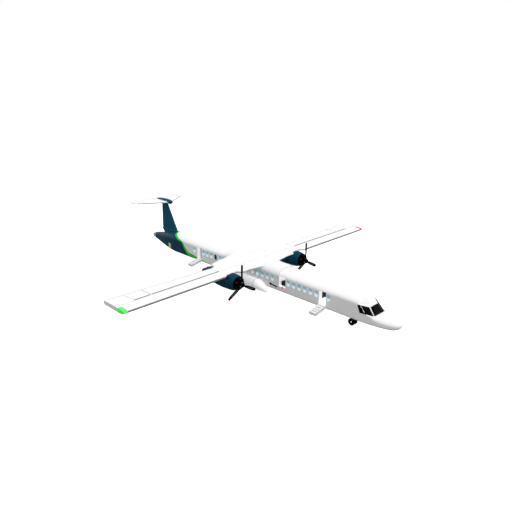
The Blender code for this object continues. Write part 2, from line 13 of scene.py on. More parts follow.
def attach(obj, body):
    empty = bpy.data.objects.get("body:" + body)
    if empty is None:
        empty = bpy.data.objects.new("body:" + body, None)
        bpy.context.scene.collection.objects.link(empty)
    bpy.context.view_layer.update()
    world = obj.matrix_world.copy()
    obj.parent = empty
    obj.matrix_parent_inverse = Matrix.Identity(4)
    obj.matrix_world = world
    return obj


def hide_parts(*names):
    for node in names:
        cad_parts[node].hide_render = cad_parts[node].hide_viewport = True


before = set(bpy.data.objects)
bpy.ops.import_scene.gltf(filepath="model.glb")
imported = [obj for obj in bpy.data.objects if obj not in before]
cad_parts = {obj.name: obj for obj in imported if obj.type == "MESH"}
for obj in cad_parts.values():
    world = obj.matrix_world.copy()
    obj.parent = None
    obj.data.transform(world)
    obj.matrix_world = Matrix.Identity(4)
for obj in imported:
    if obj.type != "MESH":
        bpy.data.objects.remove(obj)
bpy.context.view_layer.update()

SIDES = ((1, "left"), (-1, "right"))

# The model's main sizes, as in its source
HALF_SPAN = 13.5
HULL_HALF_WIDTH = 1.00
WING_Z = 2.60
WING_HINGE_X = 0.92
HINGE_SLOT = 0.03
FLAP_Y = (4.45, 10.62)
AILERON_Y = (10.70, 12.05)
LENS_Y = 13.18
LENS_X = 1.35
NACELLE_Y = 3.78
NACELLE_Z = 1.97
PROPELLER_X = 2.92
PROPELLER_RADIUS = 1.63
TAILPLANE_Z = 5.38
ELEVATOR_Y = (0.42, 2.40)
ELEVATOR_HINGE_X = -13.22
TAIL_CONE_X = -13.60
DOOR_SILL_Z = 0.98
DOOR_TOP_Z = 2.26
DOOR_ROOM_DEPTH = 0.75
DOORS = {"front_door": (8.16, 8.80), "rear_door": (-5.95, -5.40)}
EXIT_X = (4.18, 4.86)
EXIT_Z = (1.42, 2.28)
EXIT_DEPTH = 0.55
SEAM = 0.0003

# Columns: x, half width, belly z, side's lower z, side's upper z, roof z
HULL_SECTIONS = [
    (14.38, 0.12, 1.10, 1.17, 1.20, 1.27),
    (14.27, 0.30, 0.98, 1.12, 1.20, 1.37),
    (14.00, 0.50, 0.87, 1.07, 1.20, 1.50),
    (13.55, 0.68, 0.83, 1.06, 1.22, 1.60),
    (12.95, 0.84, 0.82, 1.07, 1.30, 1.70),
    (12.65, 0.89, 0.82, 1.08, 1.40, 1.78),
    (12.30, 0.95, 0.82, 1.09, 1.72, 2.22),
    (11.90, 0.98, 0.82, 1.10, 2.05, 2.56),
    (11.40, 1.00, 0.82, 1.10, 2.18, 2.66),
    (10.80, 1.00, 0.82, 1.10, 2.20, 2.68),
    (-9.40, 1.00, 0.82, 1.10, 2.20, 2.68),
    (-10.30, 0.94, 0.86, 1.14, 2.10, 2.60),
    (-11.40, 0.78, 1.00, 1.24, 1.95, 2.38),
    (-12.50, 0.56, 1.13, 1.34, 1.80, 2.13),
    (TAIL_CONE_X, 0.33, 1.25, 1.43, 1.66, 1.90),
]

# Shapes


def smoothed(shape, limit=32):
    """Smooth shading, with the edges sharper than the limit kept crisp."""
    bmesh.ops.recalc_face_normals(shape, faces=shape.faces[:])
    for face in shape.faces:
        face.smooth = True
    for edge in shape.edges:
        edge.smooth = edge.is_manifold and edge.calc_face_angle(0.0) < math.radians(limit)
    return shape


def new_object(name, shape, limit=32):
    smoothed(shape, limit)
    mesh = bpy.data.meshes.new(name)
    shape.to_mesh(mesh)
    shape.free()
    made = bpy.data.objects.new(name, mesh)
    bpy.context.scene.collection.objects.link(made)
    return made


def piece(name, shape, body, material, replaces=(), limit=32):
    """A finished piece of the visual model, riding on a body."""
    made = shape if isinstance(shape, bpy.types.Object) else new_object(name, shape, limit)
    made.name = made.data.name = name
    for each in material if isinstance(material, (list, tuple)) else [material]:
        made.data.materials.append(each)
    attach(made, body)
    if replaces:
        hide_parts(*replaces)
    return made


def loft(rings, shape=None, closed=True, caps=True, material=0):
    """Quads through rings of equal length, added to a bmesh."""
    shape = shape or bmesh.new()
    rows = [[shape.verts.new(point) for point in ring] for ring in rings]
    count = len(rows[0])
    for row, following in zip(rows, rows[1:]):
        for index in range(count if closed else count - 1):
            after = (index + 1) % count
            face = shape.faces.new((row[index], row[after], following[after], following[index]))
            face.material_index = material
    if caps:
        for row in (rows[0], rows[-1]):
            shape.faces.new(row).material_index = material
    return shape


def box(low, high, shape=None, bevel=0.0, material=0):
    """A box between two corners, with an optional rounded edge."""
    (x0, y0, z0), (x1, y1, z1) = low, high
    base = [(x0, y0), (x1, y0), (x1, y1), (x0, y1)]
    made = loft([[(x, y, z) for x, y in base] for z in (z0, z1)], material=material)
    bmesh.ops.recalc_face_normals(made, faces=made.faces[:])
    if bevel:
        bmesh.ops.bevel(made, geom=made.edges[:], offset=bevel, segments=3, affect="EDGES",
                        profile=0.5, clamp_overlap=True)
    return join(shape, made) if shape else made


def join(target, other):
    """Adds one bmesh to another and frees it."""
    mesh = bpy.data.meshes.new("joining")
    other.to_mesh(mesh)
    other.free()
    target.from_mesh(mesh)
    bpy.data.meshes.remove(mesh)
    return target


def turned(profile, centre, axis, sides=48, phase=0.0, material=0, shape=None, caps=True):
    """A body of revolution: profile rows are (distance along the axis, radius)."""
    ahead = Vector(axis).normalized()
    guide = Vector((0, 0, 1)) if abs(ahead.z) < 0.9 else Vector((1, 0, 0))
    beside = ahead.cross(guide).normalized()
    across = beside.cross(ahead)
    rings = []
    for along, radius in profile:
        middle = Vector(centre) + ahead * along
        rings.append([
            middle + (across * math.cos(turn) + beside * math.sin(turn)) * radius
            for turn in (2 * math.pi * step / sides + phase for step in range(sides))
        ])
    return loft(rings, shape=shape, caps=caps, material=material)


def tube(points, radius, sides=12, shape=None, material=0):
    """A round bar through points."""
    points = [Vector(point) for point in points]
    rings = []
    guide = Vector((0, 0, 1))
    for index, point in enumerate(points):
        ahead = points[min(index + 1, len(points) - 1)] - points[max(index - 1, 0)]
        ahead.normalize()
        if abs(ahead.dot(guide)) > 0.95:
            guide = Vector((1, 0, 0))
        beside = ahead.cross(guide).normalized()
        across = beside.cross(ahead)
        rings.append([point + (across * math.cos(turn) + beside * math.sin(turn)) * radius
                      for turn in (2 * math.pi * step / sides for step in range(sides))])
    return loft(rings, shape=shape, material=material)


def arc(count, start, end):
    return [start + (end - start) * step / count for step in range(count + 1)]


def boolean(target, shape, operation="DIFFERENCE"):
    """Cuts or trims an object with another shape, at once."""
    cutter = shape if isinstance(shape, bpy.types.Object) else new_object("cutter", shape)
    step = target.modifiers.new("cut", "BOOLEAN")
    step.operation = operation
    step.solver = "EXACT"
    step.object = cutter
    bpy.context.view_layer.update()
    result = bpy.data.meshes.new_from_object(
        target.evaluated_get(bpy.context.evaluated_depsgraph_get()))
    target.modifiers.clear()
    old = target.data
    target.data = result
    bpy.data.meshes.remove(old)
    bpy.data.objects.remove(cutter, do_unlink=True)
    return target


def reshade(target, limit=32):
    """Smooth shading again after cutting."""
    shape = bmesh.new()
    shape.from_mesh(target.data)
    bmesh.ops.dissolve_degenerate(shape, edges=shape.edges[:], dist=1e-5)
    smoothed(shape, limit)
    shape.to_mesh(target.data)
    shape.free()
    return target


def eased(xs, ys, x):
    """Monotone cubic through a table, for smooth lofts that don't overshoot."""
    if x <= xs[0]:
        return ys[0]
    if x >= xs[-1]:
        return ys[-1]
    slopes = [(b - a) / (q - p) for (a, b), (p, q) in zip(zip(ys, ys[1:]), zip(xs, xs[1:]))]
    tangents = [slopes[0]]
    for before, after in zip(slopes, slopes[1:]):
        tangents.append(0.0 if before * after <= 0 else 2 * before * after / (before + after))
    tangents.append(slopes[-1])
    for index, (a, b) in enumerate(zip(xs, xs[1:])):
        if a <= x <= b:
            width = b - a
            t = (x - a) / width
            return ((1 + 2 * t) * (1 - t) ** 2 * ys[index] + t * (1 - t) ** 2 * width
                    * tangents[index] + t * t * (3 - 2 * t) * ys[index + 1]
                    + t * t * (t - 1) * width * tangents[index + 1])


# Hull

HULL_TABLE = sorted(HULL_SECTIONS)
HULL_XS = [row[0] for row in HULL_TABLE]
LOWER_STEPS = 10
SIDE_STEPS = 10
UPPER_STEPS = 20


def hull_section(x):
    """Half width, belly z, side's lower z, side's upper z and roof z at x."""
    return [eased(HULL_XS, [row[column] for row in HULL_TABLE], x) for column in range(1, 6)]


def hull_ring(x, grow=0.0):
    half, belly, low, high, roof = hull_section(x)
    port = [((half + grow) * math.sin(turn), low - (low - belly + grow) * math.cos(turn))
            for turn in arc(LOWER_STEPS, 0, math.pi / 2)]
    port += [(half + grow, low + (high - low) * step / SIDE_STEPS)
             for step in range(1, SIDE_STEPS)]
    port += [((half + grow) * math.cos(turn), high + (roof - high + grow) * math.sin(turn))
             for turn in arc(UPPER_STEPS, 0, math.pi / 2)]
    ring = port + [(-y, z) for y, z in reversed(port[1:-1])]
    return [(x, y, z) for y, z in ring]


def hull_stations():
    xs = set(HULL_XS)
    for start, end, step in ((-13.6, -9.4, 0.14), (-9.4, -3.0, 0.12), (-3.0, 10.8, 0.46),
                             (10.8, 12.9, 0.10), (12.9, 14.38, 0.06)):
        count = max(1, round((end - start) / step))
        xs.update(round(value, 4) for value in arc(count, start, end))
    return sorted(xs, reverse=True)


# Windscreen planes, as in the model
SCREEN_FOOT_Z = 1.61
SCREEN_HEAD_Z = 2.80
FRONT_PANE = ((12.70, 0.60), (12.70, -0.60), 0.81)
SIDE_PANE = ((12.64, 0.54), (12.32, 0.93), 0.86)
SCREEN_REACH = 0.9


def pane_cutter(first, second, lean, side=1):
    start, end = (Vector((x, side * y, 0)) for x, y in (first, second))
    along = (end - start).normalized()
    out = Vector((along.y, -along.x, 0))
    if out.x < 0:
        out.negate()
    rings = []
    for z in (SCREEN_FOOT_Z, SCREEN_HEAD_Z):
        back = out * (-lean * (z - SCREEN_FOOT_Z))
        wide = along * SCREEN_REACH
        near = [start - wide + back, end + wide + back]
        far = [end + wide + out * SCREEN_REACH, start - wide + out * SCREEN_REACH]
        rings.append([point + Vector((0, 0, z)) for point in near + far])
    return loft(rings)


def bare_hull():
    """The hull's skin before the doorways are cut."""
    hull = new_object("hull", loft([hull_ring(x) for x in hull_stations()]))
    boolean(hull, pane_cutter(*FRONT_PANE))
    for side in (1, -1):
        boolean(hull, pane_cutter(*SIDE_PANE, side=side))
    return hull


# The stripe's upper edge. Columns: x, height up the side and on along the roof's curve
STRIPE = [(-10.05, 3.40), (-9.61, 2.98), (-8.88, 2.60), (-8.21, 2.38), (-7.82, 1.86),
          (-7.37, 1.46), (-6.42, 1.35), (-5.50, 1.20), (-3.65, 1.00), (-3.30, 0.60)]
STRIPE_WIDTH = (0.30, 0.20)     # low on the side, and higher up
ROOF_ARC = 1.2           # length of the roof's curve for each metre of half width


def hull_height(x, y, z):
    """Height up the side, unrolled over the roof so that a stripe keeps its width there."""
    half, belly, low, high, roof = hull_section(x)
    if z <= high:
        return z
    turn = math.atan2(z - high, max(abs(y), 1e-4) * (roof - high) / half)
    return high + ROOF_ARC * half * turn / (math.pi / 2)


def trail_distance(x, height):
    """Signed distance to the stripe: above 0 ahead of it, below 0 aft of it."""
    best = 1e9
    for (x0, z0), (x1, z1) in zip(STRIPE, STRIPE[1:]):
        run, rise = x1 - x0, z1 - z0
        share = max(0.0, min(1.0, ((x - x0) * run + (height - z0) * rise) / (run ** 2 + rise ** 2)))
        gap = math.hypot(x - x0 - run * share, height - z0 - rise * share)
        if gap < abs(best):
            cross = run * (height - z0) - rise * (x - x0)
            best = math.copysign(gap, cross)
    return best


def paint_hull(hull):
    """Stores how far each point is from the stripe, for the paint's node tree."""
    layer = hull.data.attributes.new("trail", "FLOAT", "POINT")
    for vert in hull.data.vertices:
        x, y, z = vert.co
        layer.data[vert.index].value = (
            trail_distance(x, hull_height(x, y, z)) if x < -1.0 else 4.0)


# Node materials


class Tree:
    """Short names for making and wiring shader nodes."""

    def __init__(self, name, base, roughness, specular=0.4, metallic=0.0, coat=0.0):
        self.material = bpy.data.materials.new(name)
        self.material.use_nodes = True
        self.nodes = self.material.node_tree.nodes
        self.links = self.material.node_tree.links
        self.shader = self.nodes["Principled BSDF"]
        for key, value in (("Base Color", (*base, 1.0)), ("Roughness", roughness),
                           ("Specular IOR Level", specular), ("Metallic", metallic),
                           ("Coat Weight", coat)):
            self.shader.inputs[key].default_value = value
        self.where = self.node("TexCoord").outputs["Object"]
        split = self.node("SeparateXYZ", {0: self.where})
        self.x, self.y, self.z = split.outputs

    def node(self, kind, inputs=None, **settings):
        made = self.nodes.new("ShaderNode" + kind)
        for key, value in settings.items():
            setattr(made, key, value)
        for key, value in (inputs or {}).items():
            if isinstance(value, bpy.types.NodeSocket):
                self.links.new(value, made.inputs[key])
            else:
                made.inputs[key].default_value = value
        return made

    def math(self, operation, *values):
        return self.node("Math", dict(enumerate(values)), operation=operation).outputs[0]

    def noise(self, scale, detail=3.0, stretch=None):
        where = self.where
        if stretch:
            where = self.node("Mapping", {"Vector": where, "Scale": stretch}).outputs[0]
        return self.node("TexNoise", {"Vector": where, "Scale": scale, "Detail": detail}
                         ).outputs["Fac"]

    def between(self, value, low, high, to_low=0.0, to_high=1.0):
        return self.node("MapRange", {"Value": value, "From Min": low, "From Max": high,
                                      "To Min": to_low, "To Max": to_high}).outputs[0]

    def mix(self, factor, first, second):
        made = self.nodes.new("ShaderNodeMix")
        made.data_type = "RGBA"
        for socket, value in ((made.inputs[0], factor), (made.inputs[6], first),
                              (made.inputs[7], second)):
            if isinstance(value, bpy.types.NodeSocket):
                self.links.new(value, socket)
            else:
                socket.default_value = value if not isinstance(value, tuple) else (*value, 1.0)
        return made.outputs[2]

    def line(self, value, place, width):
        """1 on a line of that width across the value, 0 elsewhere."""
        return self.math("COMPARE", value, place, width / 2)

    def grid(self, value, pitch, offset, width):
        """1 on lines at every pitch."""
        wave = self.math("PINGPONG", self.math("SUBTRACT", value, offset), pitch / 2)
        return self.math("LESS_THAN", wave, width / 2)

    def colour(self, socket):
        self.links.new(socket, self.shader.inputs["Base Color"])

    def roughness(self, low, high, scale=3.0, detail=4.0):
        self.links.new(self.between(self.noise(scale, detail), 0.3, 0.7, low, high),
                       self.shader.inputs["Roughness"])

    def bump(self, height, distance, strength=1.0):
        made = self.node("Bump", {"Height": height, "Distance": distance, "Strength": strength})
        self.links.new(made.outputs[0], self.shader.inputs["Normal"])


WHITE = (0.86, 0.86, 0.87)
TEAL = (0.004, 0.048, 0.088)
FIN_TEAL = (0.008, 0.085, 0.145)
NAVY = (0.004, 0.020, 0.075)
GREEN = (0.004, 0.70, 0.030)
SEAM_TINT = (0.30, 0.31, 0.33)
PAINTED_SHADE_GREY = (0.20, 0.20, 0.21)


def aged(tree, colour, amount=0.03, scale=0.7):
    """A paint colour with faint broad streaks of wear along the airflow."""
    streaks = tree.noise(scale, 5.0, stretch=(0.35, 1.6, 1.6))
    darker = tuple(channel * (1 - amount) for channel in colour) if isinstance(colour, tuple) \
        else tree.mix(amount, colour, (0.25, 0.25, 0.25))
    return tree.mix(tree.between(streaks, 0.42, 0.68), colour, darker)


def panelled(tree, base, grids=(), lines=(), tint=0.55):
    """Darkens the base on panel joints and sinks them a little.

    grids rows: axis, pitch, offset, width; lines rows: axis, place, width.
    """
    axes = {"x": tree.x, "y": tree.y, "z": tree.z}
    masks = [tree.grid(axes[axis], pitch, offset, width) for axis, pitch, offset, width in grids]
    masks += [tree.line(axes[axis], place, width) for axis, place, width in lines]
    total = masks[0]
    for mask in masks[1:]:
        total = tree.math("MAXIMUM", total, mask)
    peel = tree.noise(60.0, 2.0)
    height = tree.math("SUBTRACT", tree.math("MULTIPLY", peel, 0.06), total)
    tree.bump(height, 0.0015, 0.5)
    shade = tree.math("MULTIPLY", total, tint)
    return tree.mix(shade, base, SEAM_TINT)


def paint(name, colour, grids=(), lines=(), specular=0.2, coat=0.0, tint=0.55, edges=(),
          glow=0.0):
    """A paint with panel joints and grey strips of painted shade that outline its edges.

    edges rows: LESS_THAN behind the strip's front line or GREATER_THAN ahead of its rear line,
    that line's x at the middle of the span, its slope along the half span, and the first y.
    """
    tree = Tree(name, colour, 0.3, specular=specular, coat=coat)
    base = panelled(tree, aged(tree, colour), grids, lines, tint)
    out = tree.math("ABSOLUTE", tree.y)
    # Each edge row paints a grey strip of painted shade along a leading or trailing edge
    for compare, x, slope, first in edges:
        sweep = tree.math("ADD", tree.x, tree.math("MULTIPLY", out, -slope))
        strip = tree.math("MULTIPLY", tree.math(compare, sweep, x),
                          tree.math("GREATER_THAN", out, first))
        base = tree.mix(strip, base, PAINTED_SHADE_GREY)
    tree.colour(base)
    # A glow, when set, is painted light in the paint's own colour
    tree.links.new(base, tree.shader.inputs["Emission Color"])
    tree.shader.inputs["Emission Strength"].default_value = glow
    tree.roughness(0.24, 0.36)
    return tree.material


def hull_paint():
    """White above and ahead of a green stripe, teal aft of it and below it."""
    tree = Tree("hull_paint", WHITE, 0.3, specular=0.06)
    trail = tree.node("Attribute", attribute_name="trail").outputs["Fac"]
    width = tree.between(tree.z, 1.30, 1.90, *STRIPE_WIDTH)
    ahead = tree.between(tree.math("ADD", trail, width), -0.003, 0.003)
    above_stripe = tree.between(trail, -0.003, 0.003)
    low = tree.between(tree.z, 0.90, 1.35)
    dark = tree.mix(low, NAVY, TEAL)
    colour = tree.mix(ahead, dark, GREEN)
    # Below z 0.97 the white turns grey: painted shade where the hull turns under
    belly = tree.mix(tree.between(tree.z, 0.97, 1.05), PAINTED_SHADE_GREY, WHITE)
    colour = tree.mix(above_stripe, colour, belly)
    tree.colour(panelled(tree, aged(tree, colour), [("x", 1.32, 0.62, 0.006)],
                         [("z", 1.13, 0.006), ("z", 2.31, 0.006)]))
    tree.roughness(0.24, 0.38)
    return tree.material


def plain(name, colour, roughness, specular=0.4, metallic=0.0, spread=0.06, scale=14.0,
          amount=0.10, bump=0.0004, coat=0.0, glow=0.0):
    """A surface with a fine grain in its colour, roughness and relief."""
    tree = Tree(name, colour, roughness, specular, metallic, coat)
    grain = tree.noise(scale, 4.0)
    tree.colour(tree.mix(tree.between(grain, 0.35, 0.65), colour,
                         tuple(channel * (1 - amount) for channel in colour)))
    tree.roughness(roughness - spread, roughness + spread, scale)
    tree.bump(grain, bump, 0.4)
    tree.shader.inputs["Emission Color"].default_value = (*colour, 1.0)
    tree.shader.inputs["Emission Strength"].default_value = glow
    return tree.material


def glowing(name, colour, glow):
    """A lamp lens: clear ribs under a smooth cover, lit a little from inside."""
    tree = Tree(name, colour, 0.12, specular=0.6, coat=0.4)
    ribs = tree.grid(tree.x, 0.06, 0.0, 0.012)
    tree.colour(tree.mix(ribs, colour, tuple(channel * 0.7 for channel in colour)))
    tree.shader.inputs["Emission Color"].default_value = (*colour, 1.0)
    tree.shader.inputs["Emission Strength"].default_value = glow
    tree.bump(ribs, 0.002, 0.4)
    return tree.material


def window_glass_painted_reflection():
    """Panes painted with a sky reflection, teal at the top to near white at the foot, and glowing
    faintly as painted light.
    """
    tree = Tree("window_glass_painted_reflection", (0.5, 0.7, 0.76), 0.10, specular=0.3)
    reflection_wobble = tree.between(tree.noise(2.6, 2.0), 0.4, 0.6, -0.03, 0.03)
    height = tree.between(tree.math("ADD", tree.z, reflection_wobble), 1.82, 2.00)
    colour = tree.mix(height, (0.78, 0.94, 0.97), (0.17, 0.42, 0.50))
    tree.colour(colour)
    tree.links.new(colour, tree.shader.inputs["Emission Color"])
    tree.shader.inputs["Emission Strength"].default_value = 0.35
    return tree.material


def room_lining_painted_light():
    """White by the doorway as painted light on the jambs, and near black further in as painted
    shade.

    Low down the front room is white all through and the rear one navy.
    """
    tree = Tree("room_lining_painted_light", WHITE, 0.5)
    depth = tree.between(tree.y, -0.66, -0.60)
    above = tree.between(tree.z, 1.50, 1.53)
    # Deeper in, a near-black grain of painted shade
    grain = tree.mix(tree.between(tree.noise(20.0), 0.4, 0.6), (0.010, 0.011, 0.014),
                     (0.018, 0.018, 0.022))
    low = tree.mix(tree.math("GREATER_THAN", tree.x, 0.0), NAVY, WHITE)
    colour = tree.mix(depth, WHITE, tree.mix(above, low, grain))
    tree.colour(colour)
    # The lining glows in its own colour, painted light
    tree.links.new(colour, tree.shader.inputs["Emission Color"])
    tree.shader.inputs["Emission Strength"].default_value = 0.35
    tree.roughness(0.45, 0.6)
    return tree.material


def recess_lining_painted_light():
    """The pale walls about the seat, with a white glow of painted light."""
    tree = Tree("recess_lining_painted_light", WHITE, 0.5)
    tree.colour(aged(tree, WHITE))
    tree.shader.inputs["Emission Color"].default_value = (1, 1, 1, 1)
    tree.shader.inputs["Emission Strength"].default_value = 0.25
    tree.roughness(0.45, 0.6)
    return tree.material


MATERIALS = {
    "hull": hull_paint(),
    "lining": room_lining_painted_light(),
    "recess": recess_lining_painted_light(),
    # The edge rows paint grey strips of painted shade along the trailing and leading edges
    "white": paint("white_paint_skin", WHITE, lines=[("x", 1.118, 0.05)],
                   edges=[("LESS_THAN", 0.208, -0.0478, 4.30),
                          ("GREATER_THAN", 2.055, 0.0, 4.50)]),
    "white_tail": paint("white_paint_tail", WHITE, lines=[("x", -13.02, 0.04)],
                        edges=[("LESS_THAN", -13.88, -0.012, 0.0),
                               ("GREATER_THAN", -11.138, -0.640, 0.0)]),
    "white_x": paint("white_paint_body", WHITE, [("x", 0.92, 0.30, 0.006)]),
    # The pod's glow is painted light that brightens it in the shade under the wing
    "white_pod": paint("white_paint_pod_painted_light", WHITE, lines=[("z", 0.93, 0.03)], tint=0.35,
                       glow=0.30),
    "teal": paint("teal_paint_skin", TEAL, [("x", 0.78, 0.28, 0.008)], specular=0.03, coat=0.0),
    "teal_fin": paint("teal_paint_fin", FIN_TEAL, [("z", 0.62, 0.22, 0.008)],
                      specular=0.03, coat=0.0),
    "black": plain("black_paint", (0.002, 0.002, 0.002), 0.5, specular=0.08),
    "blade": plain("blade_paint", (0.001, 0.001, 0.001), 0.80, specular=0.02, scale=30),
    "blade_face": plain("blade_face_painted_sheen", (0.05, 0.05, 0.052), 0.7, scale=30,
                        specular=0.05),
    "stud": plain("dull_stud", (0.16, 0.16, 0.165), 0.5, metallic=0.6, scale=30),
    # Dark grey for the noses of the moving surfaces: painted shade in their slots
    "trim": plain("trim_grey", (0.22, 0.22, 0.23), 0.5, scale=30),
    "band": plain("band_grey", (0.50, 0.50, 0.51), 0.5, scale=30),
    "metal": plain("brushed_metal", (0.50, 0.51, 0.53), 0.30, metallic=0.9, scale=40),
    "chrome": plain("polished_piston", (0.72, 0.73, 0.75), 0.12, metallic=1.0, spread=0.03,
                    scale=50, amount=0.04, bump=0.0001),
    "grey": plain("cast_grey", (0.62, 0.62, 0.61), 0.5, scale=5, amount=0.60, bump=0.002),
    "rubber": plain("tyre_rubber", (0.005, 0.005, 0.005), 0.85, specular=0.03, scale=60,
                    amount=0.3, bump=0.0008),
    # The hub's glow is painted light that brightens it in the shade under the hull
    "hub": plain("wheel_hub_painted_light", (0.78, 0.79, 0.80), 0.45, scale=25, glow=0.80),
    "screen": plain("windscreen_glass", (0.001, 0.001, 0.001), 0.20, specular=0.06, spread=0.02,
                    bump=0.0),
    "glass": window_glass_painted_reflection(),
    "teal_blank": plain("blank_pane", (0.004, 0.050, 0.090), 0.3, specular=0.25),
    "frame": plain("window_frame", (0.80, 0.82, 0.84), 0.35, scale=30, amount=0.05),
    "leather": plain("seat_leather", (0.008, 0.008, 0.010), 0.55, specular=0.3, scale=120,
                     bump=0.0012),
    "red": glowing("red_lens_glow", (0.90, 0.03, 0.03), 0.35),
    "green": glowing("green_lens_glow", (0.05, 0.85, 0.08), 0.30),
    "orange": plain("orange_patch", (0.75, 0.26, 0.14), 0.35),
    "patch_green": plain("green_patch", (0.01, 0.55, 0.06), 0.35),
    "patch_white": plain("white_patch", (0.85, 0.83, 0.82), 0.35),
    "dark_gap": plain("shadow_gap", (0.05, 0.05, 0.055), 0.7),
    "soot": plain("exhaust_soot", (0.020, 0.019, 0.018), 0.7, metallic=0.4, amount=0.5),
}


# Pieces of the hull


def snapped(tree, point, lift):
    """The nearest point of a surface, lifted off it along its normal."""
    place, normal, _, _ = tree.find_nearest(Vector(point))
    return place + normal * lift


def superellipse(turn, power=4.0):
    c, s = math.cos(turn), math.sin(turn)
    scale = (abs(c) ** power + abs(s) ** power) ** (-1 / power)
    return c * scale, s * scale


def rounded_patch(tree, centre, along, up, half_w, half_h, profile, shape=None, sides=28,
                  material=0, power=4.0):
    """A rounded rectangle laid on a surface. Profile rows: share of the size, lift.

    With a first share of 0 it is a closed disc, otherwise a ring.
    """
    shape = shape or bmesh.new()
    centre, along, up = Vector(centre), Vector(along), Vector(up)
    rows = []
    for share, lift in profile:
        if share == 0:
            rows.append([shape.verts.new(snapped(tree, centre, lift))])
            continue
        row = []
        for step in range(sides):
            a, b = superellipse(2 * math.pi * step / sides, power)
            row.append(shape.verts.new(snapped(
                tree, centre + along * (a * half_w * share) + up * (b * half_h * share), lift)))
        rows.append(row)
    pairs = list(zip(rows, rows[1:])) + ([] if len(rows[0]) == 1 else [(rows[-1], rows[0])])
    for row, following in pairs:
        for index in range(sides):
            after = (index + 1) % sides
            if len(row) == 1:
                face = shape.faces.new((row[0], following[index], following[after]))
            else:
                face = shape.faces.new((row[index], row[after], following[after],
                                        following[index]))
            face.material_index = material
    if len(rows[0]) == 1:
        shape.faces.new(rows[-1]).material_index = material
    return shape


def quad_patch(tree, corners, thickness, across=10, upward=8, shape=None, lift=0.0, material=0):
    """A four-sided plate that follows a surface, its corners given in turn."""
    shape = shape or bmesh.new()
    a, b, c, d = (Vector(corner) for corner in corners)
    sheets = []
    for height in (lift, lift + thickness):
        rows = []
        for i in range(upward + 1):
            v = i / upward
            rows.append([shape.verts.new(snapped(
                tree, (a * (1 - u) + b * u) * (1 - v) + (d * (1 - u) + c * u) * v, height))
                for u in (j / across for j in range(across + 1))])
        sheets.append(rows)
    for rows in sheets:
        for row, following in zip(rows, rows[1:]):
            for j in range(across):
                shape.faces.new((row[j], row[j + 1], following[j + 1], following[j])
                                ).material_index = material
    low, high = sheets
    rims = [low[0], [row[-1] for row in low], low[-1][::-1], [row[0] for row in low][::-1]]
    tops = [high[0], [row[-1] for row in high], high[-1][::-1], [row[0] for row in high][::-1]]
    for rim, top in zip(rims, tops):
        for j in range(len(rim) - 1):
            shape.faces.new((rim[j], rim[j + 1], top[j + 1], top[j])).material_index = material
    return shape


def tree_of(obj):
    return BVHTree.FromObject(obj, bpy.context.evaluated_depsgraph_get())


def make_hull():
    hull = bare_hull()
    skin = tree_of(hull)
    outside = -HULL_HALF_WIDTH - 0.3
    rooms = [(aft, forward, DOOR_SILL_Z, DOOR_TOP_Z, DOOR_ROOM_DEPTH)
             for aft, forward in DOORS.values()]
    rooms.append((*EXIT_X, *EXIT_Z, EXIT_DEPTH))
    for aft, forward, low, high, depth in rooms:
        boolean(hull, box((aft, outside, low), (forward, -HULL_HALF_WIDTH + depth, high)))
    reshade(hull)
    paint_hull(hull)
    for polygon in hull.data.polygons:
        x, y, z = polygon.center
        for aft, forward, low, high, depth in rooms:
            if (aft - 0.002 < x < forward + 0.002 and low - 0.002 < z < high + 0.002
                    and y < -HULL_HALF_WIDTH + depth + 0.002
                    and (abs(polygon.normal.x) > 0.9 or abs(polygon.normal.z) > 0.9
                         or y > -0.6)):
                polygon.material_index = 2 if aft == EXIT_X[0] else 1
                polygon.use_smooth = False
    piece("hull_skin", hull, "airframe",
          [MATERIALS["hull"], MATERIALS["lining"], MATERIALS["recess"]],
          replaces=["fuselage"])
    return skin, rooms


WINDOW_Z = 1.93
WINDOW_HALF = (0.185, 0.285)
# Starboard cabin windows: first x, last x, how many
WINDOW_ROWS = [(5.16, 7.90, 6), (9.03, 9.03, 1), (1.23, 3.48, 5), (-6.37, -6.37, 1),
               (-5.08, -2.28, 6)]
BLANK_WINDOW_X = -3.40
PORT_ROWS = [(4.62, 8.47, 8), (9.03, 9.03, 1), (0.67, 4.05, 7), (-6.37, -2.28, 8)]


def window_places(rows):
    for first, last, count in rows:
        for step in range(count):
            yield first + (last - first) * step / max(1, count - 1)


def make_windows(skin):
    half_w, half_h = WINDOW_HALF
    for side, suffix, rows in ((1, "left", PORT_ROWS), (-1, "right", WINDOW_ROWS)):
        rims, panes, blanks = bmesh.new(), bmesh.new(), bmesh.new()
        for x in window_places(rows):
            where = ((x, side * 1.02, WINDOW_Z), (1, 0, 0), (0, 0, 1))
            rounded_patch(skin, *where, half_w, half_h,
                          [(0.84, -0.01), (0.84, 0.004), (0.87, 0.011), (0.95, 0.011),
                           (1.0, 0.004), (1.0, -0.01)], shape=rims)
            blank = side < 0 and abs(x - BLANK_WINDOW_X) < 0.2
            rounded_patch(skin, *where, half_w * 0.85, half_h * 0.85,
                          [(0, 0.003), (0.5, 0.003), (1.0, 0.002), (1.0, -0.01)],
                          shape=blanks if blank else panes)
        piece(f"window_rims_{suffix}", rims, "airframe", MATERIALS["frame"])
        piece(f"window_panes_{suffix}", panes, "airframe", MATERIALS["glass"])
        if blanks.verts:
            piece("window_blank", blanks, "airframe", MATERIALS["teal_blank"])
        else:
            blanks.free()


# Windscreen panes: four corners each, starboard values of y; the front one spans the middle
SCREEN_PANES = {
    "front": ((12.69, -0.61, 1.61), (12.69, 0.61, 1.61), (12.26, 0.51, 2.15), (12.26, -0.51, 2.15)),
    "side": ((12.66, -0.66, 1.61), (12.15, -0.96, 1.69), (11.68, -0.90, 2.20), (12.18, -0.57, 2.13)),
    "aft": ((12.12, -0.97, 1.69), (11.70, -0.99, 1.67), (11.48, -0.99, 2.22), (11.66, -0.93, 2.21)),
}


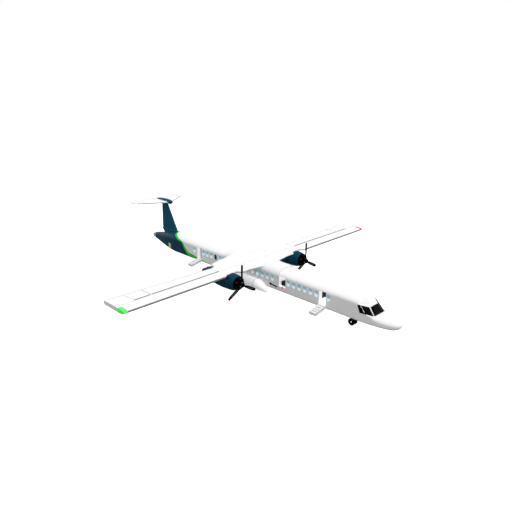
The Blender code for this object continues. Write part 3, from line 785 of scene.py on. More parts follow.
def make_windscreen(skin):
    panes = bmesh.new()
    for corners in SCREEN_PANES.values():
        middle = corners[0][1] * corners[1][1] < 0
        for side in (1, -1) if not middle else (-1,):
            placed = [(x, -side * y, z) for x, y, z in corners]
            quad_patch(skin, placed, 0.016, across=32, upward=12, shape=panes, lift=-0.002)
    piece("windscreen_panes", panes, "airframe", MATERIALS["screen"])


def make_patches(skin):
    """The plain coloured patch low on the tail, and the small marks by the exit."""
    bands = [("patch_green", -10.62, -10.46), ("patch_white", -10.46, -10.28),
             ("orange", -10.28, -10.12)]
    for name, aft, forward in bands:
        piece(f"tail_{name}", quad_patch(
            skin, [(aft, -1, 1.02), (forward, -1, 1.00), (forward, -1, 1.62), (aft, -1, 1.64)],
            0.003, across=3, upward=10), "airframe", MATERIALS[name])
    dot = rounded_patch(skin, (4.55, -1.02, 1.38), (1, 0, 0), (0, 0, 1), 0.10, 0.075,
                        [(0, 0.018), (0.6, 0.018), (0.9, 0.012), (1.0, 0.0), (1.0, -0.01)],
                        power=2.0)
    piece("exit_marker_lamp", dot, "airframe", MATERIALS["red"])
    handle = rounded_patch(skin, (3.30, -1.02, 1.37), (1, 0, 0), (0, 0, 1), 0.13, 0.10,
                           [(0, 0.014), (0.7, 0.014), (0.95, 0.009), (1.0, -0.01)])
    rounded_patch(skin, (3.70, -1.02, 1.33), (1, 0, -0.08), (0.08, 0, 1), 0.34, 0.060,
                  [(0, 0.020), (0.7, 0.020), (0.95, 0.012), (1.0, -0.01)], shape=handle)
    piece("side_vent_and_bar", handle, "airframe", MATERIALS["black"])


# Doors

HINGE = (-0.955, 1.055)
DOOR_OPEN_ANGLE = math.radians(102)
DOOR_SLAB_Z = (1.035, 2.235)
DOOR_GAP = 0.015
DOOR_THICKNESS = 0.24
STEPS = 4


def swung(shape):
    """Turns a shape drawn on the shut door to where the open door is."""
    hinge = Vector((0, *HINGE))
    swing = Matrix.Rotation(DOOR_OPEN_ANGLE, 4, "X")
    bmesh.ops.transform(shape, matrix=Matrix.Translation(hinge) @ swing
                        @ Matrix.Translation(-hinge), verts=shape.verts[:])
    return shape


def make_door(name, aft, forward):
    """The airstair: an outer panel, two side cheeks, steps between them and a hinge tube."""
    start, end = aft + DOOR_GAP, forward - DOOR_GAP
    low, high = DOOR_SLAB_Z
    outer = -HULL_HALF_WIDTH
    inner = outer + DOOR_THICKNESS
    stair = box((start, outer, low), (end, outer + 0.10, high), bevel=0.012)
    for x in (start, end - 0.05):
        box((x, outer + 0.09, low + 0.004), (x + 0.05, inner, high - 0.004), shape=stair,
            bevel=0.010)
    box((start + 0.04, outer + 0.09, high - 0.07), (end - 0.04, inner - 0.01, high - 0.01),
        shape=stair, bevel=0.008)
    rise = (high - low - 0.10) / STEPS
    for step in range(STEPS):
        z = low + 0.05 + rise * step
        box((start + 0.045, outer + 0.09, z), (end - 0.045, inner - 0.012, z + 0.035),
            shape=stair, bevel=0.006)
    turned([(0, 0.018), (forward - aft - 2 * SEAM, 0.018)], (aft + SEAM, *HINGE), (1, 0, 0),
           sides=24, shape=stair)
    piece(f"{name}_airstair", swung(stair), name, MATERIALS["white_x"], replaces=[name])


def make_seat():
    """A padded seat in the open exit: crowned cushion and back on two metal frame bars."""
    aft, forward = EXIT_X
    wall = -HULL_HALF_WIDTH + EXIT_DEPTH
    y0, y1 = wall - 0.40, wall - 0.02
    parts = {
        "seat_cushion": ((aft + 0.28, y0, EXIT_Z[0] + 0.04), (forward - 0.06, y1, EXIT_Z[0] + 0.28)),
        "seat_back": ((aft + 0.08, y0, EXIT_Z[0] + 0.04), (aft + 0.30, y1, EXIT_Z[0] + 0.44)),
    }
    for name, (low, high) in parts.items():
        pad = box(low, high)
        bmesh.ops.subdivide_edges(pad, edges=pad.edges[:], cuts=3, use_grid_fill=True)
        middle = (Vector(low) + Vector(high)) / 2
        half = (Vector(high) - Vector(low)) / 2
        for vert in pad.verts:
            share = [(vert.co[i] - middle[i]) / half[i] for i in range(3)]
            pull = 1 - 0.10 * sum(abs(s) ** 4 for s in share) / 3 * 2
            vert.co = middle + Vector([half[i] * share[i] * pull for i in range(3)])
        cushion = new_object(name, pad, limit=180)
        soft = cushion.modifiers.new("round", "SUBSURF")
        soft.levels = soft.render_levels = 2
        bpy.context.view_layer.update()
        rounded = bpy.data.meshes.new_from_object(
            cushion.evaluated_get(bpy.context.evaluated_depsgraph_get()))
        cushion.modifiers.clear()
        cushion.data = rounded
        piece(name, cushion, "airframe", MATERIALS["leather"])
    frame_bars = box((aft + 0.16, y0 + 0.02, EXIT_Z[0] + SEAM),
                     (aft + 0.20, y1 - 0.02, EXIT_Z[0] + 0.13), bevel=0.004)
    box((forward - 0.14, y0 + 0.02, EXIT_Z[0] + SEAM), (forward - 0.10, y1 - 0.02,
                                                         EXIT_Z[0] + 0.13),
        shape=frame_bars, bevel=0.004)
    piece("seat_frame", frame_bars, "airframe", MATERIALS["metal"], replaces=["seat"])


# Lifting surfaces

# Columns: share of the chord, share of the half thickness
FOIL = [(0.0, 0.0), (0.012, 0.36), (0.05, 0.66), (0.14, 0.90), (0.30, 1.00),
        (0.50, 0.95), (0.75, 0.74), (1.0, 0.48)]
# The wing tip keeps its thickness back to a square trailing edge
TIP_FOIL = FOIL[:5] + [(0.50, 1.00), (0.75, 0.96), (1.0, 0.86)]
FOIL_STEPS = 26


def foil_share(share, foil=FOIL):
    """Half thickness at a share of the chord, eased through the table from a round nose."""
    if share < foil[1][0]:
        return foil[1][1] * math.sqrt(max(share, 0) / foil[1][0])
    return eased([row[0] for row in foil], [row[1] for row in foil], share)


def foil_profile(le, te, half, foil=FOIL):
    shares = [(1 - math.cos(math.pi / 2 * step / FOIL_STEPS)) for step in range(FOIL_STEPS + 1)]
    upper = [(le + (te - le) * share, half * foil_share(share, foil)) for share in shares]
    return upper + [(x, -height) for x, height in reversed(upper[1:])]


def flap_profile(le, te, half, hinge):
    height = foil_share((hinge - le) / (te - le)) * half
    nose = [(hinge + height * math.sin(turn), height * math.cos(turn))
            for turn in arc(14, math.pi, 0)]
    aft = []
    for share in arc(8, 0.06, 0.90) + [0.965, 0.9999]:
        x = hinge + (te - hinge) * share
        aft.append((x, foil_share((x - le) / (te - le)) * half))
    return nose + aft + [(x, -each) for x, each in reversed(aft)]


def level(profile, y, z):
    return [(x, y, z + height) for x, height in profile]


def upright(profile, z):
    return [(x, height, z) for x, height in profile]


def between(sections, place):
    for inner, outer in zip(sections, sections[1:]):
        if inner[0] <= place <= outer[0]:
            share = (place - inner[0]) / (outer[0] - inner[0])
            return [a + (b - a) * share for a, b in zip(inner[1:], outer[1:])]
    raise ValueError(place)


# Columns: y, leading edge x, trailing edge x, half thickness
WING_SECTIONS = [
    (0.55, 2.42, -1.42, 0.175),
    (2.30, 2.12, -1.05, 0.165),
    (3.10, 2.11, -0.88, 0.162),
    (3.32, 1.76, -0.83, 0.160),
    (3.70, 1.76, -0.75, 0.160),
    (3.95, 1.76, -0.06, 0.160),
    (4.25, 1.76, -0.08, 0.160),
    (4.78, 2.11, -0.10, 0.160),
    (13.15, 2.12, -0.50, 0.150),
    (HALF_SPAN, 2.08, -0.42, 0.165),
]


def span_box(side, x_range, y_range, z_range):
    y0, y1 = sorted(side * y for y in y_range)
    return box((x_range[0], y0, z_range[0]), (x_range[1], y1, z_range[1]))


def wing_shape(side):
    return loft([level(foil_profile(le, te, half, TIP_FOIL if y == HALF_SPAN else FOIL),
                       side * y, WING_Z) for y, le, te, half in WING_SECTIONS])


def make_wing(side, suffix):
    wing = new_object("wing", wing_shape(side))
    for low, high in (FLAP_Y, AILERON_Y):
        front = WING_HINGE_X + between(WING_SECTIONS, low)[2] + HINGE_SLOT
        boolean(wing, span_box(side, (-2.0, front), (low, high), (2.0, 3.2)))
    boolean(wing, span_box(side, (LENS_X, 3.0), (LENS_Y, HALF_SPAN + 1), (2.0, 3.2)))
    reshade(wing)
    piece(f"wing_skin_{suffix}", wing, "airframe", MATERIALS["white"],
          replaces=[f"wing_{suffix}"])
    lens = new_object("lens", wing_shape(side))
    boolean(lens, span_box(side, (LENS_X + 0.003, 3.0), (LENS_Y + 0.003, HALF_SPAN + 1),
                           (2.0, 3.2)), "INTERSECT")
    reshade(lens)
    piece(f"nav_lens_{suffix}", lens, "airframe", MATERIALS["red" if side > 0 else "green"],
          replaces=[f"nav_light_{suffix}"])


def pin(start, end, radius, shape=None, material=0):
    start, end = Vector(start), Vector(end)
    return turned([(0, radius), ((end - start).length, radius)], start, end - start, sides=20,
                  shape=shape, material=material)


def make_surface(name, body, sections, z, side, y_range, hinge_x, pin_radius, material):
    """A flap, aileron or elevator with its hinge pins."""
    inner, outer = y_range[0] + HINGE_SLOT, y_range[1] - HINGE_SLOT
    rings = [level(flap_profile(*between(sections, y), hinge_x), side * y, z)
             for y in arc(6, inner, outer)]
    shape = loft(rings)
    for start, end in ((y_range[0] + SEAM, inner + 0.01), (outer - 0.01, y_range[1] - SEAM)):
        pin((hinge_x, side * start, z), (hinge_x, side * end, z), pin_radius, shape=shape,
            material=1)
    # The nose lies in the dark of its slot, so it is painted dark grey as painted shade
    for face in shape.faces:
        if face.material_index == 0 and face.calc_center_median().x > hinge_x + 0.045:
            face.material_index = 2
    piece(f"{name}_skin", shape, body, [material, MATERIALS["metal"], MATERIALS["trim"]],
          replaces=[name])


FAIRING_X = (-2.35, 4.16)
FAIRING_WIDTH = 1.03
FAIRING_BASE_Z = 2.22
FAIRING_TOP_Z = 2.86
HULL_ROOF_Z = 2.68


def make_fairing():
    """The saddle over the roof, with a rounded front and a long run-out."""
    rings = []
    # Columns: x, share of the full height above the roof, share of the width
    rows = [(FAIRING_X[0], 0.25, 0.975), (-2.10, 0.50, 0.99), (-1.85, 0.78, 1.0), (-1.55, 0.96, 1.0),
            (-1.20, 1.0, 1.0), (4.05, 1.0, 1.0), (4.12, 0.97, 1.0), (FAIRING_X[1], 0.88, 0.995)]
    for x, share, wide in rows:
        top = HULL_ROOF_Z + 0.02 + (FAIRING_TOP_Z - HULL_ROOF_Z - 0.02) * share
        ring = [(x, FAIRING_WIDTH * wide * math.cos(turn),
                 FAIRING_BASE_Z + (top - FAIRING_BASE_Z) * math.sin(turn))
                for turn in arc(40, 0, math.pi)]
        rings.append(ring + [(x, -0.5, FAIRING_BASE_Z - 0.1), (x, 0.5, FAIRING_BASE_Z - 0.1)])
    fairing = new_object("fairing", loft(rings))
    boolean(fairing, loft([hull_ring(x) for x in arc(20, -3, 5)]))
    reshade(fairing, 40)
    piece("wing_fairing_skin", fairing, "airframe", MATERIALS["white_x"],
          replaces=["wing_fairing"])


# Engines

# Columns: x, half width, half height, centre z
NACELLE_SECTIONS = [
    (2.450, 0.500, 0.500, 1.970), (2.430, 0.555, 0.555, 1.970), (2.250, 0.610, 0.615, 1.965),
    (1.850, 0.650, 0.680, 1.945), (0.900, 0.640, 0.695, 1.925), (-0.100, 0.580, 0.640, 1.940),
    (-0.900, 0.460, 0.520, 1.950), (-1.250, 0.330, 0.400, 1.940), (-1.380, 0.270, 0.290, 1.930),
]
RUN_GAP = 0.006


def nacelle_ring(x, y, table, grow=0.0, shift=0.0):
    """One ring of the nacelle, eased through its table."""
    xs = [row[0] for row in table]
    across, up, middle = (eased(xs, [row[column] for row in table], x) for column in (1, 2, 3))
    return [(x + shift, y + (across + grow) * math.cos(turn), middle + (up + grow) * math.sin(turn))
            for turn in arc(56, 0, 2 * math.pi)[:-1]]


def make_nacelle(side, suffix):
    y = side * NACELLE_Y
    table = sorted(NACELLE_SECTIONS)
    stations = arc(44, table[0][0], 2.30) + [2.36, 2.40, 2.425, 2.44, 2.45]
    shape = loft([nacelle_ring(x, y, table) for x in stations])
    turned([(-0.2, 0.10), (RUN_GAP, 0.10)], (2.45, y, NACELLE_Z), (1, 0, 0), shape=shape,
           material=1)
    # Cowl bands and the round vent high on the outer side
    for x in (2.10, 1.10):
        loft([nacelle_ring(x, y, table, lift, dx) for dx, lift in
              ((-0.025, -0.004), (-0.020, 0.004), (0.020, 0.004), (0.025, -0.004))], shape=shape)
    made = piece(f"nacelle_skin_{suffix}", shape, "airframe",
                 [MATERIALS["teal"], MATERIALS["metal"]], replaces=[f"nacelle_{suffix}"])
    skin = tree_of(made)
    out = Vector((0, side * 0.79, 0.61))
    vent = rounded_patch(skin, Vector((1.88, y, NACELLE_Z)) + out * 0.66, (1, 0, 0),
                         out.cross(Vector((1, 0, 0))), 0.09, 0.09,
                         [(0, 0.004), (0.6, 0.004), (0.75, 0.014), (1.0, 0.010), (1.0, -0.01)],
                         power=2.0)
    piece(f"nacelle_vent_{suffix}", vent, "airframe", MATERIALS["black"])
    pipe = turned([(0, 0.2295), (0.10, 0.225), (0.22, 0.212), (0.262, 0.208), (0.2697, 0.200),
                   (0.262, 0.190), (0.10, 0.175)], (-1.38 - SEAM, y, 1.93), (-1, 0, 0))
    piece(f"exhaust_pipe_{suffix}", pipe, "airframe", MATERIALS["soot"],
          replaces=[f"exhaust_{suffix}"])


# Columns: radius, chord, thickness, pitch in degrees from the disc
BLADE_SECTIONS = [
    (0.08, 0.14, 0.110, -62), (0.28, 0.16, 0.090, -42), (0.60, 0.25, 0.060, -20),
    (1.10, 0.27, 0.045, -10), (1.50, 0.24, 0.032, -8), (PROPELLER_RADIUS, 0.17, 0.024, -8),
]


def blade(centre, angle, shape):
    """A twisted blade with a painted sheen: a dark grey band down the middle of its front face."""
    radii = [row[0] for row in BLADE_SECTIONS]
    swing = Matrix.Rotation(math.radians(angle), 3, "X")
    rings = []
    stations = arc(26, radii[0], 1.56) + [1.59, 1.61, 1.622, PROPELLER_RADIUS]
    for radius in stations:
        chord, thick, pitch = (eased(radii, [row[column] for row in BLADE_SECTIONS], radius)
                               for column in (1, 2, 3))
        tilt = math.radians(pitch)
        ring = []
        for turn in arc(24, 0, 2 * math.pi)[:-1]:
            along, out = chord / 2 * math.cos(turn), thick / 2 * math.sin(turn)
            ring.append(Vector(centre) + swing @ Vector(
                (along * math.sin(tilt) + out * math.cos(tilt),
                 along * math.cos(tilt) - out * math.sin(tilt), radius)))
        rings.append(ring)
    first = len(shape.faces)
    loft(rings, shape=shape)
    shape.faces.ensure_lookup_table()
    # The grey band down the front face is a painted sheen
    for index in range(first, len(shape.faces) - 2):
        column, row = (index - first) % 24, (index - first) // 24
        if 4 <= column <= 7 and 7 < row < 22:
            shape.faces[index].material_index = 2
    return shape


def make_propeller(side, suffix):
    y = side * NACELLE_Y
    back = NACELLE_SECTIONS[0][0] + RUN_GAP + SEAM
    # Columns: distance ahead of the back face, radius
    hub = [(0.0, 0.530), (0.05, 0.542), (0.10, 0.545), (0.14, 0.527), (0.17, 0.500), (0.21, 0.457),
           (0.26, 0.400), (0.31, 0.343), (0.36, 0.290), (0.41, 0.254), (0.46, 0.230),
           (0.53, 0.200), (0.60, 0.170), (0.65, 0.138), (0.69, 0.100), (0.72, 0.058),
           (0.73, 0.030)]
    shape = turned(hub, (back, y, NACELLE_Z), (1, 0, 0), sides=64)
    for turn in arc(6, 0.5, 2 * math.pi + 0.5)[:-1]:
        out = Vector((0, math.cos(turn), math.sin(turn)))
        turned([(0, 0.030), (0.020, 0.030), (0.026, 0.020)],
               Vector((back + 0.23, y, NACELLE_Z)) + out * 0.41, Vector((0.75, 0, 0)) + out * 0.66,
               sides=16, shape=shape, material=1)
    for angle in (0, 120, 240):
        blade((PROPELLER_X, y, NACELLE_Z), angle, shape)
        out = Matrix.Rotation(math.radians(angle), 3, "X") @ Vector((0, 0, 1))
        turned([(0.10, 0.090), (0.22, 0.088), (0.235, 0.075)],
               (PROPELLER_X, y, NACELLE_Z), out, sides=28, shape=shape, material=1)
    piece(f"propeller_dressed_{suffix}", shape, f"propeller_{suffix}",
          [MATERIALS["blade"], MATERIALS["stud"], MATERIALS["blade_face"]],
          replaces=[f"propeller_{suffix}"])


# Tail

# Columns: z, leading edge x, trailing edge x, half thickness
FIN_SECTIONS = [
    (1.80, -10.30, -11.85, 0.170),
    (2.60, -10.12, -12.66, 0.170),
    (2.62, -10.14, -12.56, 0.125),
    (5.30, -11.62, -12.48, 0.090),
]
RUDDER_Z = (2.72, 4.98)
RUDDER_HINGE_X = (-11.82, -12.12)
RUDDER_PIN_RADIUS = 0.035
BULLET = [
    # x, half width, half height, centre z
    (-10.82, 0.05, 0.06, 5.42), (-10.92, 0.13, 0.15, 5.43), (-11.20, 0.19, 0.22, 5.44),
    (-11.90, 0.20, 0.23, 5.44), (-12.70, 0.15, 0.17, 5.44), (-13.35, 0.06, 0.06, 5.44),
]
# Columns: y, leading edge x, trailing edge x, half thickness
TAILPLANE_SECTIONS = [
    (0.02, -11.10, -13.95, 0.090),
    (2.55, -12.72, -13.98, 0.065),
    (2.85, -13.05, -13.85, 0.045),
]


def rudder_hinge(z):
    share = (z - RUDDER_Z[0]) / (RUDDER_Z[1] - RUDDER_Z[0])
    return RUDDER_HINGE_X[0] + (RUDDER_HINGE_X[1] - RUDDER_HINGE_X[0]) * share


def make_fin():
    fin = new_object("fin_skin", loft([upright(foil_profile(le, te, half), z)
                                       for z, le, te, half in FIN_SECTIONS]))
    reach = 0.11 + HINGE_SLOT
    boolean(fin, loft([
        [(rudder_hinge(z) + reach, -0.4, z), (-13.5, -0.4, z),
         (-13.5, 0.4, z), (rudder_hinge(z) + reach, 0.4, z)] for z in RUDDER_Z]))
    reshade(fin)
    piece("fin_skin", fin, "airframe", MATERIALS["teal_fin"], replaces=["fin"])
    low, high = RUDDER_Z[0] + HINGE_SLOT, RUDDER_Z[1] - HINGE_SLOT
    rudder = loft([upright(flap_profile(*between(FIN_SECTIONS, z), rudder_hinge(z)), z)
                   for z in arc(8, low, high)])
    lean = (RUDDER_HINGE_X[0] - RUDDER_HINGE_X[1]) / (RUDDER_Z[1] - RUDDER_Z[0])
    inset = RUDDER_PIN_RADIUS * lean + SEAM
    foot, head = RUDDER_Z[0] + inset, RUDDER_Z[1] - inset
    for start, end in ((foot, low + 0.02), (high - 0.02, head)):
        pin((rudder_hinge(start), 0, start), (rudder_hinge(end), 0, end), RUDDER_PIN_RADIUS,
            shape=rudder, material=1)
    piece("rudder_skin", rudder, "rudder", [MATERIALS["teal_fin"], MATERIALS["metal"]],
          replaces=["rudder"])
    table = sorted(BULLET)
    xs = [row[0] for row in table]
    bullet = loft([[(x, across * math.cos(turn), middle + up * math.sin(turn))
                    for turn in arc(40, 0, 2 * math.pi)[:-1]]
                   for x in arc(36, xs[0], xs[-1])
                   for across, up, middle in [[eased(xs, [row[column] for row in table], x)
                                               for column in (1, 2, 3)]]])
    for face in bullet.faces:
        middle = face.calc_center_median()
        if middle.x > -11.15 and middle.z < 5.43:
            face.material_index = 1
    piece("bullet_skin", bullet, "airframe", [MATERIALS["teal_fin"], MATERIALS["black"]],
          replaces=["bullet"])


def make_tailplane(side, suffix):
    plane = new_object("plane", loft([level(foil_profile(le, te, half), side * y, TAILPLANE_Z)
                                      for y, le, te, half in TAILPLANE_SECTIONS]))
    front = ELEVATOR_HINGE_X + 0.08 + HINGE_SLOT
    boolean(plane, span_box(side, (-15.0, front), ELEVATOR_Y, (5.0, 5.8)))
    reshade(plane)
    piece(f"tailplane_skin_{suffix}", plane, "airframe", MATERIALS["white_tail"],
          replaces=[f"tailplane_{suffix}"])
    make_surface(f"elevator_{suffix}", f"elevator_{suffix}", TAILPLANE_SECTIONS, TAILPLANE_Z,
                 side, ELEVATOR_Y, ELEVATOR_HINGE_X, 0.03, MATERIALS["white_tail"])


def make_tail_cone():
    # Columns: distance aft of the joint, radius, centre z
    rows = [(SEAM, 0.300, 1.575), (0.25, 0.300, 1.560), (0.55, 0.210, 1.520), (0.78, 0.095, 1.480)]
    aft = [row[0] for row in rows]
    rings = [[(TAIL_CONE_X - back, radius * math.cos(turn), middle + radius * math.sin(turn))
              for turn in arc(44, 0, 2 * math.pi)[:-1]]
             for back in arc(18, aft[0], aft[-1])
             for radius, middle in [[eased(aft, [row[column] for row in rows], back)
                                     for column in (1, 2)]]]
    piece("tail_cone_skin", loft(rings), "airframe", MATERIALS["grey"], replaces=["tail_cone"])


# Sponsons and gear

# Columns: x, share of the full radius; the underside is level throughout
SPONSON_SECTIONS = [
    (3.10, 0.07), (3.04, 0.22), (2.94, 0.40), (2.83, 0.54), (2.60, 0.74), (2.41, 0.87),
    (2.20, 0.96), (1.95, 1.0), (-1.90, 1.0), (-2.60, 0.80), (-3.20, 0.45), (-3.55, 0.12),
]
SPONSON_Y = 1.20
SPONSON_Z = 1.02
SPONSON_RADIUS = 0.42
MAIN_GEAR_X = -0.75
MAIN_GEAR_Y = 1.36
WELL_HALF_LENGTH = 0.44
WELL_ROOF_Z = 0.80
NOSE_GEAR_X = 10.55
WHEEL_SIDES = 28
# Wheels, columns: radius, half track, tyre half width
WHEELS = {"main": (0.34, 0.17, 0.085), "nose": (0.28, 0.16, 0.065)}


def make_sponson(side, suffix):
    table = sorted(SPONSON_SECTIONS)
    xs = [row[0] for row in table]
    rings = []
    for x in arc(10, -3.55, -1.9) + [0.0, 1.8] + arc(16, 1.9, 3.10):
        radius = SPONSON_RADIUS * eased(xs, [row[1] for row in table], x)
        rings.append([(x, side * (SPONSON_Y + radius * math.cos(turn)),
                       SPONSON_Z - SPONSON_RADIUS + radius + radius * math.sin(turn))
                      for turn in arc(48, 0, 2 * math.pi)[:-1]])
    sponson = new_object("sponson", loft(rings))
    boolean(sponson, span_box(side, (MAIN_GEAR_X - WELL_HALF_LENGTH,
                                     MAIN_GEAR_X + WELL_HALF_LENGTH),
                              (MAIN_GEAR_Y - 0.34, MAIN_GEAR_Y + 1.0), (0.2, WELL_ROOF_Z)))
    reshade(sponson, 40)
    piece(f"sponson_skin_{suffix}", sponson, "airframe", MATERIALS["white_pod"],
          replaces=[f"sponson_{suffix}"])
    band = loft([[(1.86 + dx, side * (SPONSON_Y + (SPONSON_RADIUS + lift) * math.cos(turn)),
                   SPONSON_Z + (SPONSON_RADIUS + lift) * math.sin(turn))
                  for turn in arc(48, 0, 2 * math.pi)[:-1]]
                 for dx, lift in ((-0.022, -0.004), (-0.018, 0.005), (0.018, 0.005),
                                  (0.022, -0.004))])
    piece(f"sponson_band_{suffix}", band, "airframe", MATERIALS["band"])


def wheel(centre, radius, half_width, outward, shape):
    """One wheel: a grooved tyre, a dished hub and its bolts."""
    grooves = []
    for groove in (-0.45, 0.0, 0.45):
        grooves += [((groove - 0.09), 0.985), ((groove - 0.07), 0.955), ((groove + 0.07), 0.955),
                    ((groove + 0.09), 0.985)]
    profile = [(-0.55, 0.58), (-0.70, 0.61), (-0.90, 0.67), (-1.0, 0.78), (-0.95, 0.87),
               (-0.84, 0.94), (-0.68, 0.98)] + grooves \
        + [(0.68, 0.98), (0.84, 0.94), (0.95, 0.87), (1.0, 0.78), (0.90, 0.67), (0.70, 0.61),
           (0.55, 0.58)]
    turned([(along * half_width * outward, out * radius) for along, out in profile], centre,
           (0, 1, 0), sides=56, shape=shape, caps=True)
    rim = [(0.20, 0.59), (0.50, 0.59), (0.64, 0.57), (0.64, 0.52), (0.46, 0.46), (0.46, 0.40)]
    dish = [(0.20, 0.42), (0.50, 0.42), (0.50, 0.38), (0.38, 0.34), (0.36, 0.24), (0.48, 0.18),
            (0.60, 0.14), (0.60, 0.05)]
    for face in (1, -1):
        for profile, material in ((rim, 0), (dish, 1)):
            turned([(along * half_width * face, out * radius) for along, out in profile],
                   centre, (0, 1, 0), sides=40, shape=shape, material=material)
        for turn in arc(8, 0, 2 * math.pi)[:-1]:
            out = Vector((math.cos(turn), 0, math.sin(turn))) * radius * 0.34
            turned([(0, 0.010), (0.014, 0.010), (0.016, 0.007)],
                   Vector(centre) + out + Vector((0, face * half_width * 0.38, 0)),
                   (0, face, 0), sides=6, shape=shape, material=2)


def make_wheels(name, body, x, y, kind, axle_radius):
    radius, half_track, half_width = WHEELS[kind]
    z = radius * math.cos(math.pi / WHEEL_SIDES)
    shape = bmesh.new()
    for side in (1, -1):
        wheel((x, y + side * half_track, z), radius * 0.993, half_width, side, shape)
    turned([(-half_track, axle_radius), (half_track, axle_radius)], (x, y, z), (0, 1, 0),
           sides=28, shape=shape, material=2)
    piece(f"{name}_dressed", shape, body,
          [MATERIALS["rubber"], MATERIALS["hub"], MATERIALS["metal"]],
          replaces=[name])
    return z


def strut(x, y, axle_z, top_z, radius, axle_radius, link_z, shape):
    """A shock strut with its chrome piston, collar and axle housing."""
    turned([(0, 0.052 if radius < 0.06 else 0.058), (0.02, radius * 1.25),
            (0.05, radius * 1.25), (0.06, radius), (top_z - link_z, radius)],
           (x, y, link_z), (0, 0, 1), sides=32, shape=shape)
    turned([(0, radius * 0.72), (link_z - axle_z + 0.02, radius * 0.72)], (x, y, axle_z),
           (0, 0, 1), sides=32, shape=shape, material=1)
    turned([(-radius, axle_radius * 1.9), (-radius * 0.85, axle_radius * 2.0),
            (radius * 0.85, axle_radius * 2.0), (radius, axle_radius * 1.9)],
           (x, y, axle_z), (0, 1, 0), sides=32, shape=shape)
    return shape


def make_gear():
    for side, suffix in SIDES:
        y = side * MAIN_GEAR_Y
        z = make_wheels(f"main_wheels_{suffix}", f"main_wheels_{suffix}", MAIN_GEAR_X, y, "main",
                        0.050)
        leg = strut(MAIN_GEAR_X, y, z, WELL_ROOF_Z - SEAM, 0.045, 0.045, z + 0.20, bmesh.new())
        for knee in ((MAIN_GEAR_X + 0.13, y, z + 0.13),):
            tube([(MAIN_GEAR_X + 0.05, y, z + 0.22), knee], 0.016, shape=leg)
            tube([knee, (MAIN_GEAR_X + 0.05, y, z + 0.03)], 0.016, shape=leg)
        piece(f"main_leg_dressed_{suffix}", leg, "airframe",
              [MATERIALS["metal"], MATERIALS["chrome"]],
              replaces=[f"main_gear_leg_{suffix}"])
    z = make_wheels("nose_wheels", "nose_wheels", NOSE_GEAR_X, 0, "nose", 0.035)
    fork = bmesh.new()
    turned([(0, 0.050), (0.60 - SEAM - z, 0.050)], (NOSE_GEAR_X, 0, z), (0, 0, 1), sides=36,
           shape=fork, material=1)
    turned([(-0.050, 0.062), (-0.044, 0.067), (0.044, 0.067), (0.050, 0.062)],
           (NOSE_GEAR_X, 0, z), (0, 1, 0), sides=36, shape=fork)
    turned([(0, 0.050), (0.008, 0.064), (0.050, 0.064), (0.058, 0.050)],
           (NOSE_GEAR_X, 0, 0.60 - SEAM - 0.060), (0, 0, 1), sides=36, shape=fork)
    knee = (NOSE_GEAR_X - 0.15, 0, z + 0.17)
    tube([(NOSE_GEAR_X - 0.05, 0, z + 0.275), knee], 0.016, shape=fork)
    tube([knee, (NOSE_GEAR_X - 0.05, 0, z + 0.05)], 0.016, shape=fork)
    piece("nose_fork_dressed", fork, "nose_fork", [MATERIALS["metal"], MATERIALS["chrome"]],
          replaces=["nose_gear_fork"])
    leg = turned([(0, 0.060), (0.010, 0.075), (0.050, 0.075), (0.060, 0.066), (0.225, 0.066)],
                 (NOSE_GEAR_X, 0, 0.60), (0, 0, 1), sides=40)
    piece("nose_leg_dressed", leg, "airframe", MATERIALS["metal"], replaces=["nose_gear_leg"])


# Stage, light and camera

CAMERA_TARGET = Vector((0.64, 0.0, 2.80))
CAMERA_BACK = Vector((0.6667, -0.6667, 0.3333))
CAMERA_DISTANCE = 42.85
STAGE_RADIUS = 260.0


def make_stage():
    floor = new_object("floor", loft([[(math.cos(turn) * radius, math.sin(turn) * radius, z)
                                       for turn in arc(96, 0, 2 * math.pi)[:-1]]
                                      for radius, z in ((STAGE_RADIUS, -0.05),
                                                        (STAGE_RADIUS, 0.0))]))
    floor.location.z = -0.0005
    tree = Tree("pale_floor", (0.82, 0.82, 0.82), 0.9, specular=0.0)
    tree.shader.inputs["Emission Color"].default_value = (1, 1, 1, 1)
    tree.shader.inputs["Emission Strength"].default_value = 0.60
    floor.data.materials.append(tree.material)
    dome = new_object("backdrop", loft([[(math.cos(turn) * math.cos(rise) * STAGE_RADIUS,
                                          math.sin(turn) * math.cos(rise) * STAGE_RADIUS,
                                          math.sin(rise) * STAGE_RADIUS - 0.02)
                                         for turn in arc(96, 0, 2 * math.pi)[:-1]]
                                        for rise in arc(24, 0, math.pi / 2 - 0.02)]))
    tree = Tree("pale_backdrop", (0.0, 0.0, 0.0), 1.0, specular=0.0)
    tree.shader.inputs["Emission Color"].default_value = (1, 1, 1, 1)
    tree.shader.inputs["Emission Strength"].default_value = 1.0
    dome.data.materials.append(tree.material)
    for each in (floor, dome):
        each.visible_diffuse = each.visible_glossy = False
    dome.visible_shadow = False


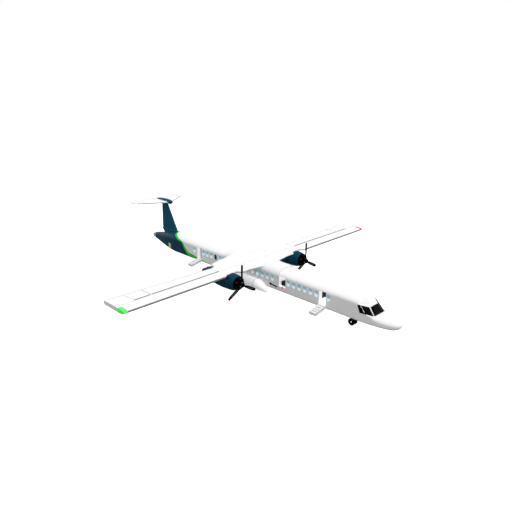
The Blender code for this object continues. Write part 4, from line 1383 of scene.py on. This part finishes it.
def make_light():
    scene = bpy.context.scene
    world = scene.world or bpy.data.worlds.new("studio")
    scene.world = world
    world.use_nodes = True
    nodes, links = world.node_tree.nodes, world.node_tree.links
    nodes.clear()
    out = nodes.new("ShaderNodeOutputWorld")
    back = nodes.new("ShaderNodeBackground")
    where = nodes.new("ShaderNodeTexCoord")
    split = nodes.new("ShaderNodeSeparateXYZ")
    ramp = nodes.new("ShaderNodeValToRGB")
    level_map = nodes.new("ShaderNodeMapRange")
    level_map.inputs["From Min"].default_value = -1.0
    links.new(where.outputs["Generated"], split.inputs[0])
    links.new(split.outputs["Z"], level_map.inputs["Value"])
    links.new(level_map.outputs[0], ramp.inputs[0])
    # Columns: place from straight down to straight up, brightness
    stops = ((0.0, 0.05), (0.40, 0.30), (0.52, 0.86), (1.0, 0.60))
    ramp.color_ramp.elements.remove(ramp.color_ramp.elements[1])
    for index, (place, value) in enumerate(stops):
        element = ramp.color_ramp.elements[0] if index == 0 else ramp.color_ramp.elements.new(place)
        element.position = place
        element.color = (value, value, value, 1)
    links.new(ramp.outputs[0], back.inputs["Color"])
    links.new(back.outputs[0], out.inputs["Surface"])
    # The key throws soft shadows and the fill throws none, so that the shadows stay faint
    for name, energy, shadow in (("key", 0.6, True), ("fill", 1.2, False)):
        light = bpy.data.lights.new(name, "SUN")
        light.energy = energy
        light.angle = math.radians(20)
        light.use_shadow = shadow
        lamp = bpy.data.objects.new(name, light)
        lamp.rotation_euler = Vector((0.30, 0.10, 0.93)).to_track_quat("Z", "Y").to_euler()
        scene.collection.objects.link(lamp)
    scene.view_settings.view_transform = "Standard"
    scene.view_settings.look = "None"


def make_camera():
    data = bpy.data.cameras.new("camera")
    data.lens = 36.0
    data.sensor_width = 36.0
    data.clip_end = 1000.0
    camera = bpy.data.objects.new("camera", data)
    bpy.context.scene.collection.objects.link(camera)
    back = CAMERA_BACK.normalized()
    camera.location = CAMERA_TARGET + back * CAMERA_DISTANCE
    camera.rotation_euler = back.to_track_quat("Z", "Y").to_euler()
    bpy.context.scene.camera = camera


def main():
    make_camera()
    make_light()
    make_stage()
    skin, _ = make_hull()
    make_windows(skin)
    make_windscreen(skin)
    make_patches(skin)
    for name, (aft, forward) in DOORS.items():
        make_door(name, aft, forward)
    make_seat()
    make_fairing()
    for side, suffix in SIDES:
        make_wing(side, suffix)
        for kind, y_range in (("flap", FLAP_Y), ("aileron", AILERON_Y)):
            make_surface(f"{kind}_{suffix}", f"{kind}_{suffix}", WING_SECTIONS, WING_Z, side,
                         y_range, WING_HINGE_X, 0.045, MATERIALS["white"])
        make_nacelle(side, suffix)
        make_propeller(side, suffix)
        make_tailplane(side, suffix)
        make_sponson(side, suffix)
    make_fin()
    make_tail_cone()
    make_gear()


main()
